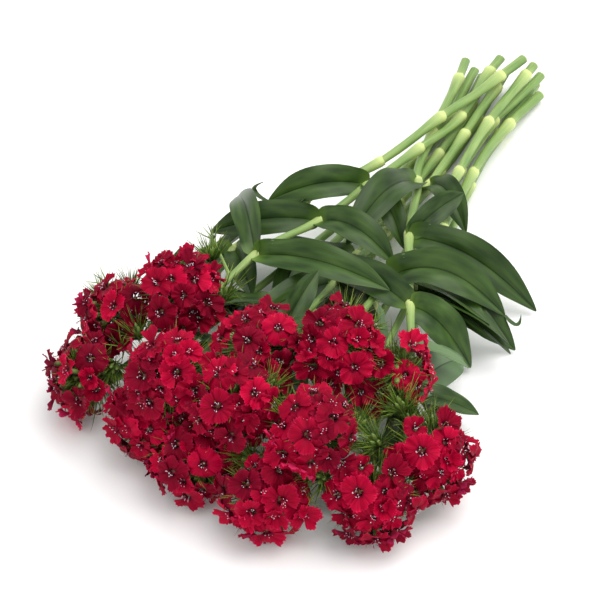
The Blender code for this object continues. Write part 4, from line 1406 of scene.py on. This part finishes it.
def dress_green(bunch, stem, path, number, looks):
    """A stem's stalk and side shoots, and its leaves."""
    work = Work()
    stalk(work, stem, path, number)
    for start, tip in bunch.noted("twig", stem.name):
        pipe(work, np.linspace(start, tip, len(TWIG_RADII)), TWIG_RADII, 7, 0, number, TWIG_PALE)
    work.piece("stalk_" + stem.name, looks["stalk"], "green", "stem_" + stem.name, 50)
    leaves, draw = Work(), random_for("fine leaves", stem.name)
    for index, values in enumerate(bunch.noted("leaf", stem.name)):
        # Some leaves get a painted sheen: a share of a paler, bluer grey-green.
        pale = SHEEN_SHARE if (stem.name, index) in SHEEN_LEAVES else 0.0
        leaf(leaves, *values, draw, number + 0.1 * index, pale)
    for place in of_stem(SLIPS, stem):
        slip(leaves, place, number)
    leaves.piece("leaves_" + stem.name, looks["leaves"], "green", None, 60)


def dress_head(bunch, stem, number, looks, anthers):
    """A stem's flowers, buds and bracts. The anthers go into one mesh for the whole bunch."""
    petals, greens, draw = Work(), Work(), random_for("blooms", stem.name)
    flowers = [(*spot, draw.choice(OPENINGS)) for spot in bunch.noted("flower", stem.name)]
    for low in of_stem(LOW_FLOWERS, stem):
        flowers.append((np.array(low.centre, float), unit(low.face), *LOW_FLOWER_SHAPE))
    flowers += filler_spots(bunch, stem, flowers)
    for index, spot in enumerate(flowers):
        bloom(petals, anthers, greens, spot, stem.head, draw, number + 0.05 * index)
    petals.piece("petals_" + stem.name, looks["petals"], "petals", "flowers_" + stem.name, 60)
    for root, tip in bunch.noted("bract", stem.name):
        bow, seed = draw.normal(0, 1, 3), number + draw.uniform(0, 1)
        bristle(greens, root, tip, bow, seed, draw, BRISTLE_RADIUS * BRACT_SHARE)
    buds(greens, stem.head, stem.name, number)
    head_bristles(greens, bunch, stem, flowers, number)
    for place in of_stem(TUFTS, stem):
        tuft(greens, bunch, place, number)
    greens.piece("bracts_" + stem.name, looks["bracts"], "green")


def dress(bunch, path_of):
    looks, anthers = materials(), Work()
    for number, stem in enumerate(STEMS):
        dress_green(bunch, stem, path_of[stem.name], number, looks)
        dress_head(bunch, stem, number, looks, anthers)
    anthers.piece("anthers", looks["anthers"], "petals")


def floor():
    mesh = bpy.data.meshes.new("floor")
    mesh.from_pydata([(-3, -3, 0), (3, -3, 0), (3, 3, 0), (-3, 3, 0)], [], [(0, 1, 2, 3)])
    mesh.materials.append(plain_material("floor_white", grey(0.93), 0.6))
    made = added("floor", mesh)


def area_light(name, place, aim, size, power, colour):
    light = bpy.data.lights.new(name, "AREA")
    light.energy, light.size, light.color = power, size, colour
    made = added(name, light)
    made.location = place
    made.rotation_euler = (Vector(place) - Vector(aim)).to_track_quat("Z", "Y").to_euler()


def studio():
    world = bpy.data.worlds.new("studio")
    bpy.context.scene.world = world
    world.use_nodes = True
    background = world.node_tree.nodes["Background"]
    background.inputs["Color"].default_value = (1.0, 1.0, 1.0, 1.0)
    background.inputs["Strength"].default_value = WORLD_STRENGTH
    area_light("key", *KEY)
    bpy.context.scene.view_settings.view_transform = "Standard"


def camera():
    azimuth, elevation = math.radians(VIEW_AZIMUTH), math.radians(VIEW_ELEVATION)
    back = Vector((
        math.sin(azimuth) * math.cos(elevation),
        -math.cos(azimuth) * math.cos(elevation),
        math.sin(elevation),
    ))
    lens = bpy.data.cameras.new("camera")
    lens.lens, lens.sensor_width, lens.clip_end = LENS, SENSOR, 20.0
    made = added("camera", lens)
    made.location = (Vector(VIEW_TARGET) + Vector(SHIFT) + VIEW_DISTANCE * back) * MM
    made.rotation_euler = back.to_track_quat("Z", "Y").to_euler()
    bpy.context.scene.camera = made


bunch, path_of = lay_out()
dress(bunch, path_of)
floor()
studio()
camera()
